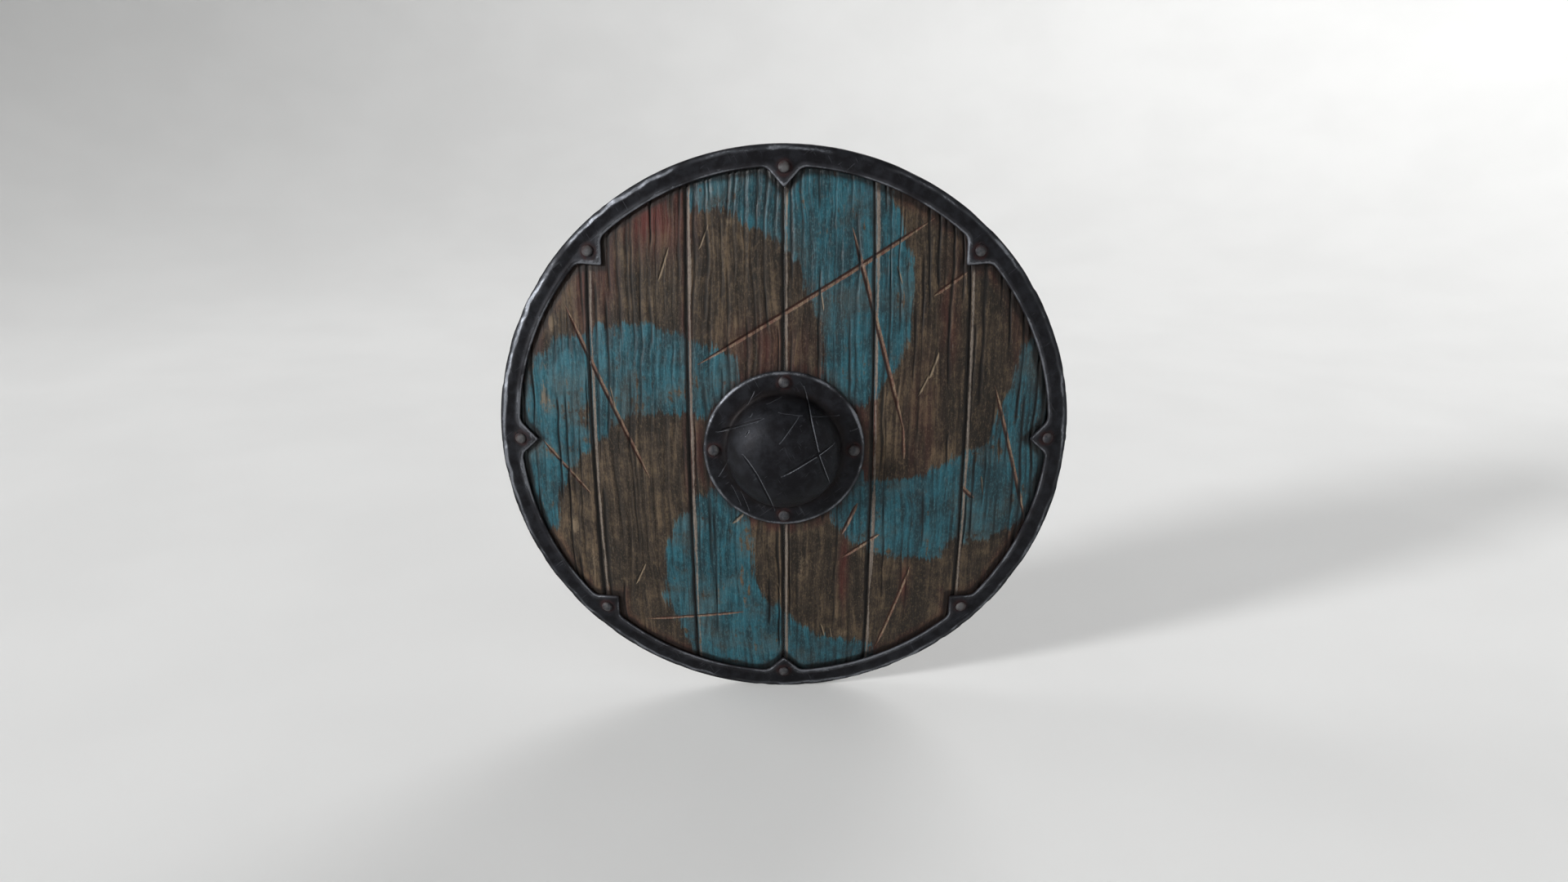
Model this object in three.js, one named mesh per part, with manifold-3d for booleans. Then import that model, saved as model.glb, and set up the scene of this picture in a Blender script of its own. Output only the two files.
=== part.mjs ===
// Viking round shield: six upright boards dished into a dome, an iron rim with eight riveted lugs,
// a hollow iron boss over the hand hole, and the battens, grip, roves and nails of the back.
// Millimetres, +Z up. The face looks along -Y, and the origin is the middle of the hand grip.

import * as THREE from "three";
import { mergeVertices } from "three/addons/utils/BufferGeometryUtils.js";
import Module from "manifold-3d";

const wasm = await Module();
wasm.setup();

// Driving dimensions of the whole shield
const shieldRadius = 320;
const domeRise = 55;
const faceSetback = 5.3;
const seatGap = 0.3;
const overrun = 8;

// Boards: the seams' places along X as shares of the rim rivets' radius, and the boards' sizes
const boardThickness = 10;
const seamPlaceShares = [-0.714768, -0.349104, 0, 0.326124, 0.677932];
const seamGap = 0.4;
const seamBevelWidth = 3;
const seamBevelDepth = 2.4;
const handHoleSides = 32;
const boardStep = 36;
const boardStripsAcross = 3;
const boardEdgeSides = 80;

// Rim: a U channel with a bevelled front lip, a worn outer edge and a flat rear leg
const rimWall = 3;
const rimThickness = 3.3;
const rimWidth = 22.5;
const rimLipHeight = 1.2;
const rimLipBevel = 4.6;
const rimShoulderWidth = 2.4;
const rimCrestDrop = 0.4;
const rimOuterBevelWidth = 6.5;
const rimOuterBevelDrop = 2.2;
const rimEdgeRound = 1.1;
const rimRearLegWidth = 14;
const rimRearLegThickness = 3;
const rimEdgeClearance = 0.8;
const rearLandCut = 0.6;
const arcSteps = 6;

// Lugs: pointed tabs on the rim's inner edge, one at each compass point
const compassPoints = ["e", "ne", "n", "nw", "w", "sw", "s", "se"];
const lugReach = 20.9;
const lugHalfWidth = 18.5;
const lugFillet = 3;
const lugTipRounding = 1.8;

// Boss: a hollow dome with broad round shoulders on a flange, and the ledge of board behind its foot
const flangeWidth = 25.8;
const flangeThickness = 3;
const flangeBevelWidth = 3.6;
const flangeBevelDepth = 1.6;
const bossDomeRadius = 62.5;
const bossDomeHeight = 48;
const handHoleLedge = 5.5;
const bossSheet = 2.2;
const bossFillet = 6;
const bossRoundness = 2.3;
const bossFilletShare = 0.25;
const bossDomeSteps = 7;
const bossSides = 36;

// Rivets: how far in from the rim's foot and the flange's edge they stand, and their square roves
const rimRivetInset = 1.6;
const bossRivetInset = 12.1;
const rivetHeadRadius = 6.3;
const rivetHeadHeight = 3.8;
const rivetHeadLip = 0.8;
const rivetShankRadius = 2.8;
const rivetHoleClearance = 0.5;
const rivetPeenRadius = 4.3;
const rivetPeenHeight = 1.2;
const roveSide = 13;
const roveThickness = 1.5;
const rivetSides = 10;
const rivetHoleSides = 8;

// Handle batten: its sizes at the grip, at the pads beside the hand hole and at its ends
const handleEndGap = 7.4;
const handleEndHalfWidth = 10;
const handleEndThickness = 5;
const handlePadHalfWidth = 17;
const handlePadThickness = 11;
const handlePadWidth = 44;
const gripEndGap = 13;
const gripHalfWidth = 13.5;
const gripThickness = 23;
const gripForward = 4;
const gripChamfer = 6.5;
const gripNeck = 9;
const battenChamfer = 2;
const battenStep = 36;

// Leather sleeve round the grip
const sleeveMargin = 2;
const sleeveThickness = 2.2;
const sleeveGap = 0.4;

// Cross battens above and below the handle, placed by a share of the shield's radius
const crossBattenPlaceShare = 0.46875;
const crossBattenEndGap = 22.8;
const crossBattenHalfWidth = 14;
const crossBattenThickness = 8;
const crossBattenEndHalfWidth = 10;
const crossBattenEndThickness = 5;

// Nails driven from the back, short of the face
const nailHeadRadius = 4;
const nailHeadThickness = 1.4;
const nailHeadCrown = 0.6;
const nailShankRadius = 1.4;
const nailTipRadius = 0.4;
const nailPointCover = 3.5;
const nailHoleClearance = 0.4;
const nailEndMargin = 14;
const nailSides = 6;

// Spheres of the boards' face and back, and what follows from them. A depth is measured forward of
// the plane in which the rim's outer edge lies, and a lift is measured square to the boards' face.
const faceRadius = (shieldRadius ** 2 + domeRise ** 2) / (2 * domeRise);
const faceCentreDepth = domeRise - faceSetback - faceRadius;
const backLift = -boardThickness;
const facetSag = boardStep ** 2 / (8 * (faceRadius - boardThickness));
const backSeatLift = backLift - seatGap - 2 * facetSag;
const battenSag = battenStep ** 2 / (8 * faceRadius);

function depthAt(radius, lift) {
  return faceCentreDepth + Math.sqrt((faceRadius + lift) ** 2 - radius ** 2);
}

function onDome(x, z, lift) {
  return new THREE.Vector3(x, -depthAt(Math.hypot(x, z), lift), z);
}

function polarPoint(radius, angle, depth) {
  return new THREE.Vector3(radius * Math.cos(angle), -depth, radius * Math.sin(angle));
}

// Radii of the rim's foot, the lugs' tips and the rivets, and of the boss's flange and hand hole
const rimFootRadius = shieldRadius - rimWidth;
const lugTipRadius = rimFootRadius - lugReach;
const rimRivetRadius = rimFootRadius - rimRivetInset;
const flangeRadius = bossDomeRadius + flangeWidth;
const bossRivetRadius = flangeRadius - bossRivetInset;
const handHoleRadius = bossDomeRadius - handHoleLedge;

// The boards' round edge inside the rim, and the flat land planed on their back for its rear leg
const rimInnerWallRadius = shieldRadius - rimWall;
const boardEdgeRadius = rimInnerWallRadius - rimEdgeClearance;
const rearLegRadius = shieldRadius - rimRearLegWidth;
const landRadius = rearLegRadius - rimEdgeClearance;
const landDepth = depthAt(landRadius, backLift) + rearLandCut;
const rearSeatDepth = landDepth - seatGap;
const rearDepth = rearSeatDepth - rimRearLegThickness;

// Lengths of the battens from the shield's middle, inside the rim's roves and its rear leg
const handleReach = rimRivetRadius - roveSide / 2 - handleEndGap;
const gripHalfLength = handHoleRadius - gripEndGap;
const crossBattenPlace = shieldRadius * crossBattenPlaceShare;
const crossBattenCorner = crossBattenPlace + crossBattenEndHalfWidth;
const crossBattenReach = Math.sqrt(rearLegRadius ** 2 - crossBattenCorner ** 2) - crossBattenEndGap;

// The grip's front and back faces, and the depth of its middle, where the origin is
const gripFrontLift = backLift + gripForward;
const gripBackLift = gripFrontLift - gripThickness;
const gripMiddleDepth = (depthAt(0, gripFrontLift) + depthAt(0, gripBackLift)) / 2;

const iron = new THREE.MeshStandardMaterial({ color: 0x2b2b31, roughness: 0.48, metalness: 0.85 });
const rivetIron = new THREE.MeshStandardMaterial({ color: 0x6d6f74, roughness: 0.5, metalness: 0.8 });
const nailIron = new THREE.MeshStandardMaterial({ color: 0x4a423d, roughness: 0.7, metalness: 0.6 });
const boardWood = new THREE.MeshStandardMaterial({ color: 0x6b5745, roughness: 0.85, metalness: 0 });
const battenWood = new THREE.MeshStandardMaterial({ color: 0x7b6249, roughness: 0.8, metalness: 0 });
const leather = new THREE.MeshStandardMaterial({ color: 0x4a2c1b, roughness: 0.7, metalness: 0 });

const shield = new THREE.Group();
shield.position.set(0, gripMiddleDepth, 0);

// A solid from a closed mesh: vertices shared, collapsed triangles dropped, faces pointing out
function solidOf(geometry, placing = new THREE.Matrix4()) {
  const bare = geometry.clone().applyMatrix4(placing);
  bare.deleteAttribute("normal");
  bare.deleteAttribute("uv");
  const welded = mergeVertices(bare);
  const places = welded.getAttribute("position");
  const corners = [new THREE.Vector3(), new THREE.Vector3(), new THREE.Vector3()];
  const triangles = [];
  let volume = 0;
  for (let first = 0; first < welded.index.count; first += corners.length) {
    const triangle = corners.map((corner, step) => welded.index.getX(first + step));
    if (new Set(triangle).size < corners.length) continue;
    triangle.forEach((vertex, step) => corners[step].fromBufferAttribute(places, vertex));
    volume += corners[0].dot(corners[1].clone().cross(corners[2]));
    triangles.push(triangle);
  }
  if (volume < 0) triangles.forEach((triangle) => triangle.reverse());
  return new wasm.Manifold(
    new wasm.Mesh({
      numProp: 3,
      vertProperties: new Float32Array(places.array),
      triVerts: new Uint32Array(triangles.flat()),
    }),
  );
}

function geometryOf(solid) {
  const mesh = solid.getMesh();
  const geometry = new THREE.BufferGeometry();
  geometry.setAttribute("position", new THREE.BufferAttribute(mesh.vertProperties, mesh.numProp));
  geometry.setIndex(new THREE.BufferAttribute(mesh.triVerts, 1));
  geometry.computeVertexNormals();
  return geometry;
}

function addPiece(name, solid, material, frame = new THREE.Matrix4()) {
  const mesh = new THREE.Mesh(geometryOf(solid), material);
  mesh.name = name;
  frame.decompose(mesh.position, mesh.quaternion, mesh.scale);
  shield.add(mesh);
}

// Two triangles for each side of the skin between one section and the next
function skin(sections, spans) {
  const count = sections[0].length;
  const index = [];
  for (let span = 0; span < spans; span += 1) {
    const here = span * count;
    const there = ((span + 1) % sections.length) * count;
    for (let side = 0; side < count; side += 1) {
      const next = (side + 1) % count;
      index.push(here + side, there + side, here + next, here + next, there + side, there + next);
    }
  }
  return index;
}

// A solid skinned over a row of sections, each a ring of points. A closed row joins its last
// section to its first; an open one gets an end face, cut as the flattened section is.
function loft(sections, flatten) {
  const count = sections[0].length;
  const index = skin(sections, flatten ? sections.length - 1 : sections.length);
  if (flatten) {
    const outline = sections[0].map(flatten);
    const clockwise = THREE.ShapeUtils.isClockWise(outline);
    const last = (sections.length - 1) * count;
    for (const face of THREE.ShapeUtils.triangulateShape(outline, [])) {
      const [a, b, c] = clockwise ? face.reverse() : face;
      index.push(a, b, c, last + c, last + b, last + a);
    }
  }
  const points = sections.flat().flatMap((point) => point.toArray());
  const geometry = new THREE.BufferGeometry();
  geometry.setAttribute("position", new THREE.Float32BufferAttribute(points, 3));
  geometry.setIndex(index);
  return solidOf(geometry);
}

// A solid turned about the Y axis from [radius, height] pairs
function turned(profile, sides) {
  const points = profile.map(([radius, height]) => new THREE.Vector2(radius, height));
  return solidOf(new THREE.LatheGeometry(points, sides));
}

// A round cutter along Y between two heights
function drill(radius, low, high, sides, frame = new THREE.Matrix4()) {
  const rod = new THREE.CylinderGeometry(radius, radius, high - low, sides);
  return solidOf(rod.translate(0, (low + high) / 2, 0), frame);
}

// A frame on the boards' face: +Y points out of the face and +X runs round the shield
function faceFrame(x, z) {
  const out = new THREE.Vector3(x, -depthAt(Math.hypot(x, z), 0) + faceCentreDepth, z).normalize();
  const angle = Math.atan2(z, x);
  const round = new THREE.Vector3(-Math.sin(angle), 0, Math.cos(angle));
  const frame = new THREE.Matrix4().makeBasis(round, out, round.clone().cross(out));
  return frame.setPosition(onDome(x, z, 0));
}

// Places of the rivets, each with the frame that its pieces and holes share
function rivetRing(names, radius) {
  return names.map((name, step) => {
    const angle = (2 * Math.PI * step) / names.length;
    const [x, z] = [radius * Math.cos(angle), radius * Math.sin(angle)];
    return { name, x, z, frame: faceFrame(x, z) };
  });
}

const rimRivets = rivetRing(compassPoints, rimRivetRadius);
const bossRivets = rivetRing(["e", "n", "w", "s"], bossRivetRadius);
const rivetHoleRadius = rivetShankRadius + rivetHoleClearance;
const rivetReachLift = backSeatLift - handlePadThickness - overrun;
const rivetHoles = [...rimRivets, ...bossRivets].map(({ frame }) =>
  drill(rivetHoleRadius, rivetReachLift, overrun, rivetHoleSides, frame),
);

// Half-width and thickness of a batten at a distance x from its middle, from flat pads to thin ends
function taper(x, padReach, reach, pad, end) {
  const share = THREE.MathUtils.clamp((Math.abs(x) - padReach) / (reach - padReach), 0, 1);
  return THREE.MathUtils.lerp(pad, end, share);
}

function handleThicknessAt(x) {
  return taper(x, handlePadReach, handleReach, handlePadThickness, handleEndThickness);
}

function crossThicknessAt(x) {
  return taper(x, 0, crossBattenReach, crossBattenThickness, crossBattenEndThickness);
}

const handlePadStart = handHoleRadius - seatGap;
const handlePadReach = handlePadStart + handlePadWidth;

// Boards run from seam to seam, and the outer two from the last seam to the round edge
const roundEdge = boardEdgeRadius + overrun;
const seamPlaces = seamPlaceShares.map((share) => rimRivetRadius * share);
const boardLimits = [-roundEdge, ...seamPlaces, roundEdge];
const boards = seamPlaces.concat(roundEdge).map((right, step) => ({
  name: `board_${step + 1}`,
  left: boardLimits[step] + seamGap / 2,
  right: right - seamGap / 2,
}));

// Nails: one through each batten into each board that no rivet already holds to it
function nailRow(batten, z, reach, thicknessAt, isRiveted) {
  return boards
    .map(({ left, right }, step) => {
      const low = Math.max(left, -reach + nailEndMargin);
      const high = Math.min(right, reach - nailEndMargin);
      const x = step === 0 ? low : step === boards.length - 1 ? high : (left + right) / 2;
      const thickest = thicknessAt(Math.max(Math.abs(x) - nailHeadRadius, 0));
      const head = backSeatLift - thickest - battenSag - seatGap;
      return { name: `nail_${batten}_${step + 1}`, x, z, head, frame: faceFrame(x, z), left, right };
    })
    .filter(({ left, right }) => !isRiveted(left, right));
}

const nails = [
  ...nailRow("handle", 0, handleReach, handleThicknessAt, (left, right) =>
    bossRivets.some(({ x, z }) => Math.abs(z) < roveSide && x > left && x < right),
  ),
  ...nailRow("upper", crossBattenPlace, crossBattenReach, crossThicknessAt, () => false),
  ...nailRow("lower", -crossBattenPlace, crossBattenReach, crossThicknessAt, () => false),
];
const nailPointLift = -nailPointCover;
const nailHoles = nails.map(({ head, frame }) =>
  drill(nailShankRadius + nailHoleClearance, head - overrun, nailPointLift + seatGap, nailSides, frame),
);

function cutAll(solid, cutters) {
  return cutters.reduce((rest, cutter) => rest.subtract(cutter), solid);
}

// One board: a strip of the dome with eased long edges on its face, before it is cut round
function boardBlank(left, right) {
  const nearest = Math.min(Math.abs(left), Math.abs(right));
  const halfLength = Math.sqrt(boardEdgeRadius ** 2 - nearest ** 2) + overrun;
  const steps = Math.ceil((2 * halfLength) / boardStep);
  const sections = [];
  for (let step = 0; step <= steps; step += 1) {
    const z = THREE.MathUtils.lerp(-halfLength, halfLength, step / steps);
    const face = [];
    const back = [];
    for (let strip = 0; strip <= boardStripsAcross; strip += 1) {
      const share = strip / boardStripsAcross;
      const faceX = THREE.MathUtils.lerp(left + seamBevelWidth, right - seamBevelWidth, share);
      face.push(onDome(faceX, z, 0));
      back.push(onDome(THREE.MathUtils.lerp(right, left, share), z, backLift));
    }
    const leftEdge = onDome(left, z, -seamBevelDepth);
    const rightEdge = onDome(right, z, -seamBevelDepth);
    sections.push([leftEdge, ...face, rightEdge, ...back]);
  }
  return loft(sections, ({ x, y }) => new THREE.Vector2(x, y));
}

function makeBoards() {
  const reach = depthAt(0, overrun);
  const round = drill(boardEdgeRadius, -reach, reach, boardEdgeSides);
  const handHole = drill(handHoleRadius, -reach, reach, handHoleSides);
  const land = turned(
    [
      [landRadius, -landDepth],
      [shieldRadius, -landDepth],
      [shieldRadius, reach],
      [landRadius, reach],
      [landRadius, -landDepth],
    ],
    boardEdgeSides,
  );
  for (const { name, left, right } of boards) {
    const blank = boardBlank(left, right).intersect(round);
    const board = cutAll(blank, [handHole, land, ...rivetHoles, ...nailHoles]);
    addPiece(name, board, boardWood);
  }
}

// One side of a lug, from the middle of its tip to where its fillet meets the arc of the rim,
// as [angle from the lug's middle, radius] pairs. The whole outline is moved inset into the iron.
function lugSide(inset) {
  const footHeight = Math.sqrt(rimFootRadius ** 2 - lugHalfWidth ** 2);
  const slope = lugHalfWidth / (footHeight - lugTipRadius);
  const halfAngle = Math.atan(slope);
  const tip = lugTipRadius + inset / Math.sin(halfAngle);
  const arcRadius = rimFootRadius + inset;
  const reach = Math.sqrt(arcRadius ** 2 * (1 + slope ** 2) - (slope * tip) ** 2);
  const cornerHeight = (slope ** 2 * tip + reach) / (1 + slope ** 2);
  const corner = new THREE.Vector2((cornerHeight - tip) * slope, cornerHeight);
  const along = new THREE.Vector2(Math.sin(halfAngle), Math.cos(halfAngle));
  const arcAngle = Math.atan2(corner.x, corner.y) + lugFillet / arcRadius;
  const arcStart = new THREE.Vector2(Math.sin(arcAngle), Math.cos(arcAngle)).multiplyScalar(arcRadius);
  const sideEnd = corner.clone().addScaledVector(along, -lugFillet);
  const filletMiddle = corner.clone().lerp(arcStart.clone().lerp(sideEnd, 1 / 2), 1 / 2);
  const rounded = new THREE.Vector2(0, tip).addScaledVector(along, lugTipRounding);
  const tipMiddle = new THREE.Vector2(0, (tip + rounded.y) / 2);
  const side = [tipMiddle, rounded, sideEnd, filletMiddle, arcStart];
  return side.map((point) => [Math.atan2(point.x, point.y), point.length()]);
}

// The rim's inner outline for a whole turn, as [angle, radius] pairs
function innerOutline(inset) {
  const side = lugSide(inset);
  const [arcAngle, arcRadius] = side[side.length - 1];
  const pitch = (2 * Math.PI) / compassPoints.length;
  return compassPoints.flatMap((point, lug) => {
    const middle = pitch * lug;
    const before = side.slice(1).reverse();
    const turn = before.map(([angle, radius]) => [middle - angle, radius]);
    turn.push(...side.map(([angle, radius]) => [middle + angle, radius]));
    for (let step = 1; step < arcSteps; step += 1) {
      const share = step / arcSteps;
      turn.push([middle + THREE.MathUtils.lerp(arcAngle, pitch - arcAngle, share), arcRadius]);
    }
    return turn;
  });
}

// The angles at which the rim's round edges are stepped, even across each lug
function outerAngles() {
  const side = lugSide(0);
  const [arcAngle] = side[side.length - 1];
  const pitch = (2 * Math.PI) / compassPoints.length;
  const lugSteps = side.length - 1;
  return compassPoints.flatMap((point, lug) => {
    const middle = pitch * lug;
    const turn = [];
    for (let step = -lugSteps; step <= lugSteps; step += 1) {
      turn.push(middle + (arcAngle * step) / lugSteps);
    }
    for (let step = 1; step < arcSteps; step += 1) {
      turn.push(middle + THREE.MathUtils.lerp(arcAngle, pitch - arcAngle, step / arcSteps));
    }
    return turn;
  });
}

function makeRim() {
  const foot = innerOutline(0);
  const lip = innerOutline(rimLipBevel);
  const topLift = seatGap + rimThickness;
  const shoulderRadius = rimFootRadius + rimLipBevel + rimShoulderWidth;
  const shoulderDepth = depthAt(shoulderRadius, topLift);
  const crestRadius = shieldRadius - rimOuterBevelWidth;
  const crestDepth = shoulderDepth - rimCrestDrop;
  const edgeRadius = shieldRadius - rimEdgeRound;
  const edgeDepth = crestDepth - rimOuterBevelDrop;
  const roundEdges = [
    [shoulderRadius, shoulderDepth],
    [crestRadius, crestDepth],
    [edgeRadius, edgeDepth],
    [shieldRadius, edgeDepth - rimEdgeRound],
    [shieldRadius, rearDepth],
    [rearLegRadius, rearDepth],
    [rearLegRadius, rearSeatDepth],
    [rimInnerWallRadius, rearSeatDepth],
    [rimInnerWallRadius, depthAt(rimInnerWallRadius, seatGap)],
    [shoulderRadius, depthAt(shoulderRadius, seatGap)],
  ];
  const sections = outerAngles().map((angle, step) => {
    const [footAngle, footRadius] = foot[step];
    const [lipAngle, lipRadius] = lip[step];
    return [
      polarPoint(footRadius, footAngle, depthAt(footRadius, seatGap)),
      polarPoint(footRadius, footAngle, depthAt(footRadius, seatGap + rimLipHeight)),
      polarPoint(lipRadius, lipAngle, depthAt(lipRadius, topLift)),
      ...roundEdges.map(([radius, depth]) => polarPoint(radius, angle, depth)),
    ];
  });
  const holes = rimRivets.map(({ frame }) =>
    drill(rivetHoleRadius, 0, topLift + overrun, rivetHoleSides, frame),
  );
  addPiece("iron_rim", cutAll(loft(sections), holes), iron);
}

// A quarter of the boss's section, from its foot to its crown, as [radius, height] pairs
function domeQuarter(radius, height) {
  const quarter = [];
  for (let step = 1; step <= bossDomeSteps; step += 1) {
    const turn = (Math.PI / 2) * (step / bossDomeSteps);
    const reach = step < bossDomeSteps ? Math.cos(turn) ** (2 / bossRoundness) : 0;
    quarter.push([radius * reach, height * Math.sin(turn) ** (2 / bossRoundness)]);
  }
  return quarter;
}

function makeBoss() {
  const topLift = seatGap + flangeThickness;
  const footDepth = depthAt(bossDomeRadius, topLift);
  const crownHeight = bossDomeHeight - bossSheet;
  const innerRadius = bossDomeRadius - bossSheet;
  const filletRadius = bossDomeRadius + bossFillet;
  const filletFoot = depthAt(filletRadius, topLift);
  const outside = domeQuarter(bossDomeRadius, bossDomeHeight).filter(([, height]) => height > bossFillet);
  const inside = domeQuarter(innerRadius, crownHeight).reverse();
  const profile = [
    [innerRadius, depthAt(innerRadius, seatGap)],
    [flangeRadius, depthAt(flangeRadius, seatGap)],
    [flangeRadius, depthAt(flangeRadius, topLift - flangeBevelDepth)],
    [flangeRadius - flangeBevelWidth, depthAt(flangeRadius - flangeBevelWidth, topLift)],
    [filletRadius, filletFoot],
    [bossDomeRadius + bossFillet * bossFilletShare, footDepth + bossFillet * bossFilletShare],
    [bossDomeRadius, footDepth + bossFillet],
    ...outside.map(([radius, height]) => [radius, footDepth + height]),
    ...inside.map(([radius, height]) => [radius, footDepth + height]),
    [innerRadius, depthAt(innerRadius, seatGap)],
  ];
  const boss = turned(
    profile.map(([radius, depth]) => [radius, -depth]),
    bossSides,
  );
  const holes = bossRivets.map(({ frame }) =>
    drill(rivetHoleRadius, 0, topLift + overrun, rivetHoleSides, frame),
  );
  addPiece("shield_boss", cutAll(boss, holes), iron);
}

// A rivet along its own Y axis: domed head, shank, and the end hammered over the rove
function rivetProfile(headSeat, roveBack) {
  const dome = [0, 1 / 3, 2 / 3].map((share) => {
    const turn = (Math.PI / 2) * share;
    return [
      rivetHeadRadius * Math.cos(turn),
      headSeat + rivetHeadLip + (rivetHeadHeight - rivetHeadLip) * Math.sin(turn),
    ];
  });
  const peenSeat = roveBack - seatGap;
  return [
    [0, peenSeat - rivetPeenHeight],
    [rivetPeenRadius / 2, peenSeat - rivetPeenHeight],
    [rivetPeenRadius, peenSeat],
    [rivetShankRadius, peenSeat],
    [rivetShankRadius, headSeat],
    [rivetHeadRadius, headSeat],
    ...dome,
    [0, headSeat + rivetHeadHeight],
  ];
}

function makeRove() {
  const half = roveSide / 2;
  const plate = new THREE.BoxGeometry(roveSide, roveThickness, roveSide);
  return solidOf(plate).subtract(drill(rivetHoleRadius, -half, half, rivetHoleSides));
}

// Rivets and roves of one ring; frontLift is where a head seats, and backLiftAt where a rove does
function makeRivets(ring, prefix, frontLift, backLiftAt) {
  for (const { name, x, z, frame } of ring) {
    const headSeat = frontLift + seatGap;
    const roveFront = backLiftAt(x, z);
    const rovePlace = new THREE.Matrix4().makeTranslation(0, roveFront - roveThickness / 2, 0);
    const profile = rivetProfile(headSeat, roveFront - roveThickness);
    addPiece(`${prefix}_rivet_${name}`, turned(profile, rivetSides), rivetIron, frame);
    addPiece(`${prefix}_rove_${name}`, makeRove(), nailIron, frame.clone().multiply(rovePlace));
  }
}

// Eight corners of a batten's section at x: a rectangle with its corners taken off
function battenSection(x, z, halfWidth, front, back, chamfer) {
  const corners = [
    [-halfWidth + chamfer, front],
    [halfWidth - chamfer, front],
    [halfWidth, front - chamfer],
    [halfWidth, back + chamfer],
    [halfWidth - chamfer, back],
    [-halfWidth + chamfer, back],
    [-halfWidth, back + chamfer],
    [-halfWidth, front - chamfer],
  ];
  return corners.map(([side, lift]) => onDome(x, z + side, lift));
}

// Places along one half of a batten, stepped evenly between the given ones
function stepped(places) {
  return places.slice(1).reduce(
    (row, place) => {
      const start = row[row.length - 1];
      const steps = Math.ceil((place - start) / battenStep);
      for (let step = 1; step <= steps; step += 1) {
        row.push(THREE.MathUtils.lerp(start, place, step / steps));
      }
      return row;
    },
    [places[0]],
  );
}

function bothWays(places) {
  return [...places.slice(1).reverse().map((place) => -place), ...places];
}

function lengthwise({ y, z }) {
  return new THREE.Vector2(z, y);
}

function gripSection(x, grow) {
  return battenSection(x, 0, gripHalfWidth + grow, gripFrontLift + grow, gripBackLift - grow, gripChamfer);
}

function makeHandle() {
  const neckEnd = gripHalfLength + gripNeck;
  const sections = bothWays(stepped([0, gripHalfLength])).map((x) => gripSection(x, 0));
  const arm = stepped([neckEnd, handlePadReach, handleReach]).map((x) => [
    x,
    taper(x, handlePadReach, handleReach, handlePadHalfWidth, handleEndHalfWidth),
    handleThicknessAt(x),
  ]);
  for (const [x, halfWidth, thickness] of arm) {
    const ends = [x, -x].map((place) =>
      battenSection(place, 0, halfWidth, backSeatLift, backSeatLift - thickness, battenChamfer),
    );
    sections.push(ends[0]);
    sections.unshift(ends[1]);
  }
  addPiece("handle_batten", cutAll(loft(sections, lengthwise), [...rivetHoles, ...nailHoles]), battenWood);
}

function makeSleeve() {
  const reach = gripHalfLength - sleeveMargin;
  const outside = bothWays(stepped([0, reach])).map((x) => gripSection(x, sleeveGap + sleeveThickness));
  const inside = bothWays(stepped([0, reach + overrun])).map((x) => gripSection(x, sleeveGap));
  addPiece("grip_sleeve", loft(outside, lengthwise).subtract(loft(inside, lengthwise)), leather);
}

function makeCrossBatten(name, place) {
  const sections = bothWays(stepped([0, crossBattenReach])).map((x) => {
    const halfWidth = taper(x, 0, crossBattenReach, crossBattenHalfWidth, crossBattenEndHalfWidth);
    const back = backSeatLift - crossThicknessAt(x);
    return battenSection(x, place, halfWidth, backSeatLift, back, battenChamfer);
  });
  addPiece(name, cutAll(loft(sections, lengthwise), nailHoles), battenWood);
}

function makeNails() {
  for (const { name, head, frame } of nails) {
    const profile = [
      [0, head - nailHeadThickness - nailHeadCrown],
      [nailHeadRadius / 2, head - nailHeadThickness - nailHeadCrown / 2],
      [nailHeadRadius, head - nailHeadThickness],
      [nailHeadRadius, head],
      [nailShankRadius, head],
      [nailShankRadius, backLift],
      [nailTipRadius, nailPointLift],
      [0, nailPointLift],
    ];
    addPiece(name, turned(profile, nailSides), nailIron, frame);
  }
}

makeBoards();
makeRim();
makeBoss();
makeRivets(rimRivets, "rim", seatGap + rimThickness, () => backSeatLift);
makeRivets(bossRivets, "boss", seatGap + flangeThickness, (x, z) =>
  Math.abs(z) < roveSide ? backSeatLift - handleThicknessAt(x) - seatGap : backSeatLift,
);
makeHandle();
makeSleeve();
makeCrossBatten("batten_upper", crossBattenPlace);
makeCrossBatten("batten_lower", -crossBattenPlace);
makeNails();

export default shield;
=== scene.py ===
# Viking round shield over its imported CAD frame: weathered boards with a painted swirl, a forged
# rim and boss, and the battens and leather grip of the back. Run as a script, not installed.

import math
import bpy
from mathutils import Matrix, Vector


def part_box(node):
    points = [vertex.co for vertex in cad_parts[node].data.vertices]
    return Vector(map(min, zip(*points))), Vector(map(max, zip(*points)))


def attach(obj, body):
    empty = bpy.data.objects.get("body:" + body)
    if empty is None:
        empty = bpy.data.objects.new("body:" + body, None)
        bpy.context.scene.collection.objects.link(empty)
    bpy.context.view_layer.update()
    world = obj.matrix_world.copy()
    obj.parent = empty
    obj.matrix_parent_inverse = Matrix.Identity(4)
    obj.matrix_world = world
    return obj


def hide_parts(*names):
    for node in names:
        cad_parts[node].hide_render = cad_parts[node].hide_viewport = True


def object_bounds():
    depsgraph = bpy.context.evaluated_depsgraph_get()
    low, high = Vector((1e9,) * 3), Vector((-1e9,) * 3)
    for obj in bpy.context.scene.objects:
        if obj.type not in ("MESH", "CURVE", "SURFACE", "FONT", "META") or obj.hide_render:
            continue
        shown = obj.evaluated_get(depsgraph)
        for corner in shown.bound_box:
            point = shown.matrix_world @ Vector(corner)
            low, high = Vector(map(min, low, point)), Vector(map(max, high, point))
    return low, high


bl_info = {
    "name": "Viking Round Shield",
    "version": (1, 0, 0),
    "blender": (4, 5, 0),
    "location": "3D View > Sidebar > Shield",
    "description": "Builds the pieces and the stage of a weathered round shield",
    "category": "Object",
}

from contextlib import contextmanager

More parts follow.
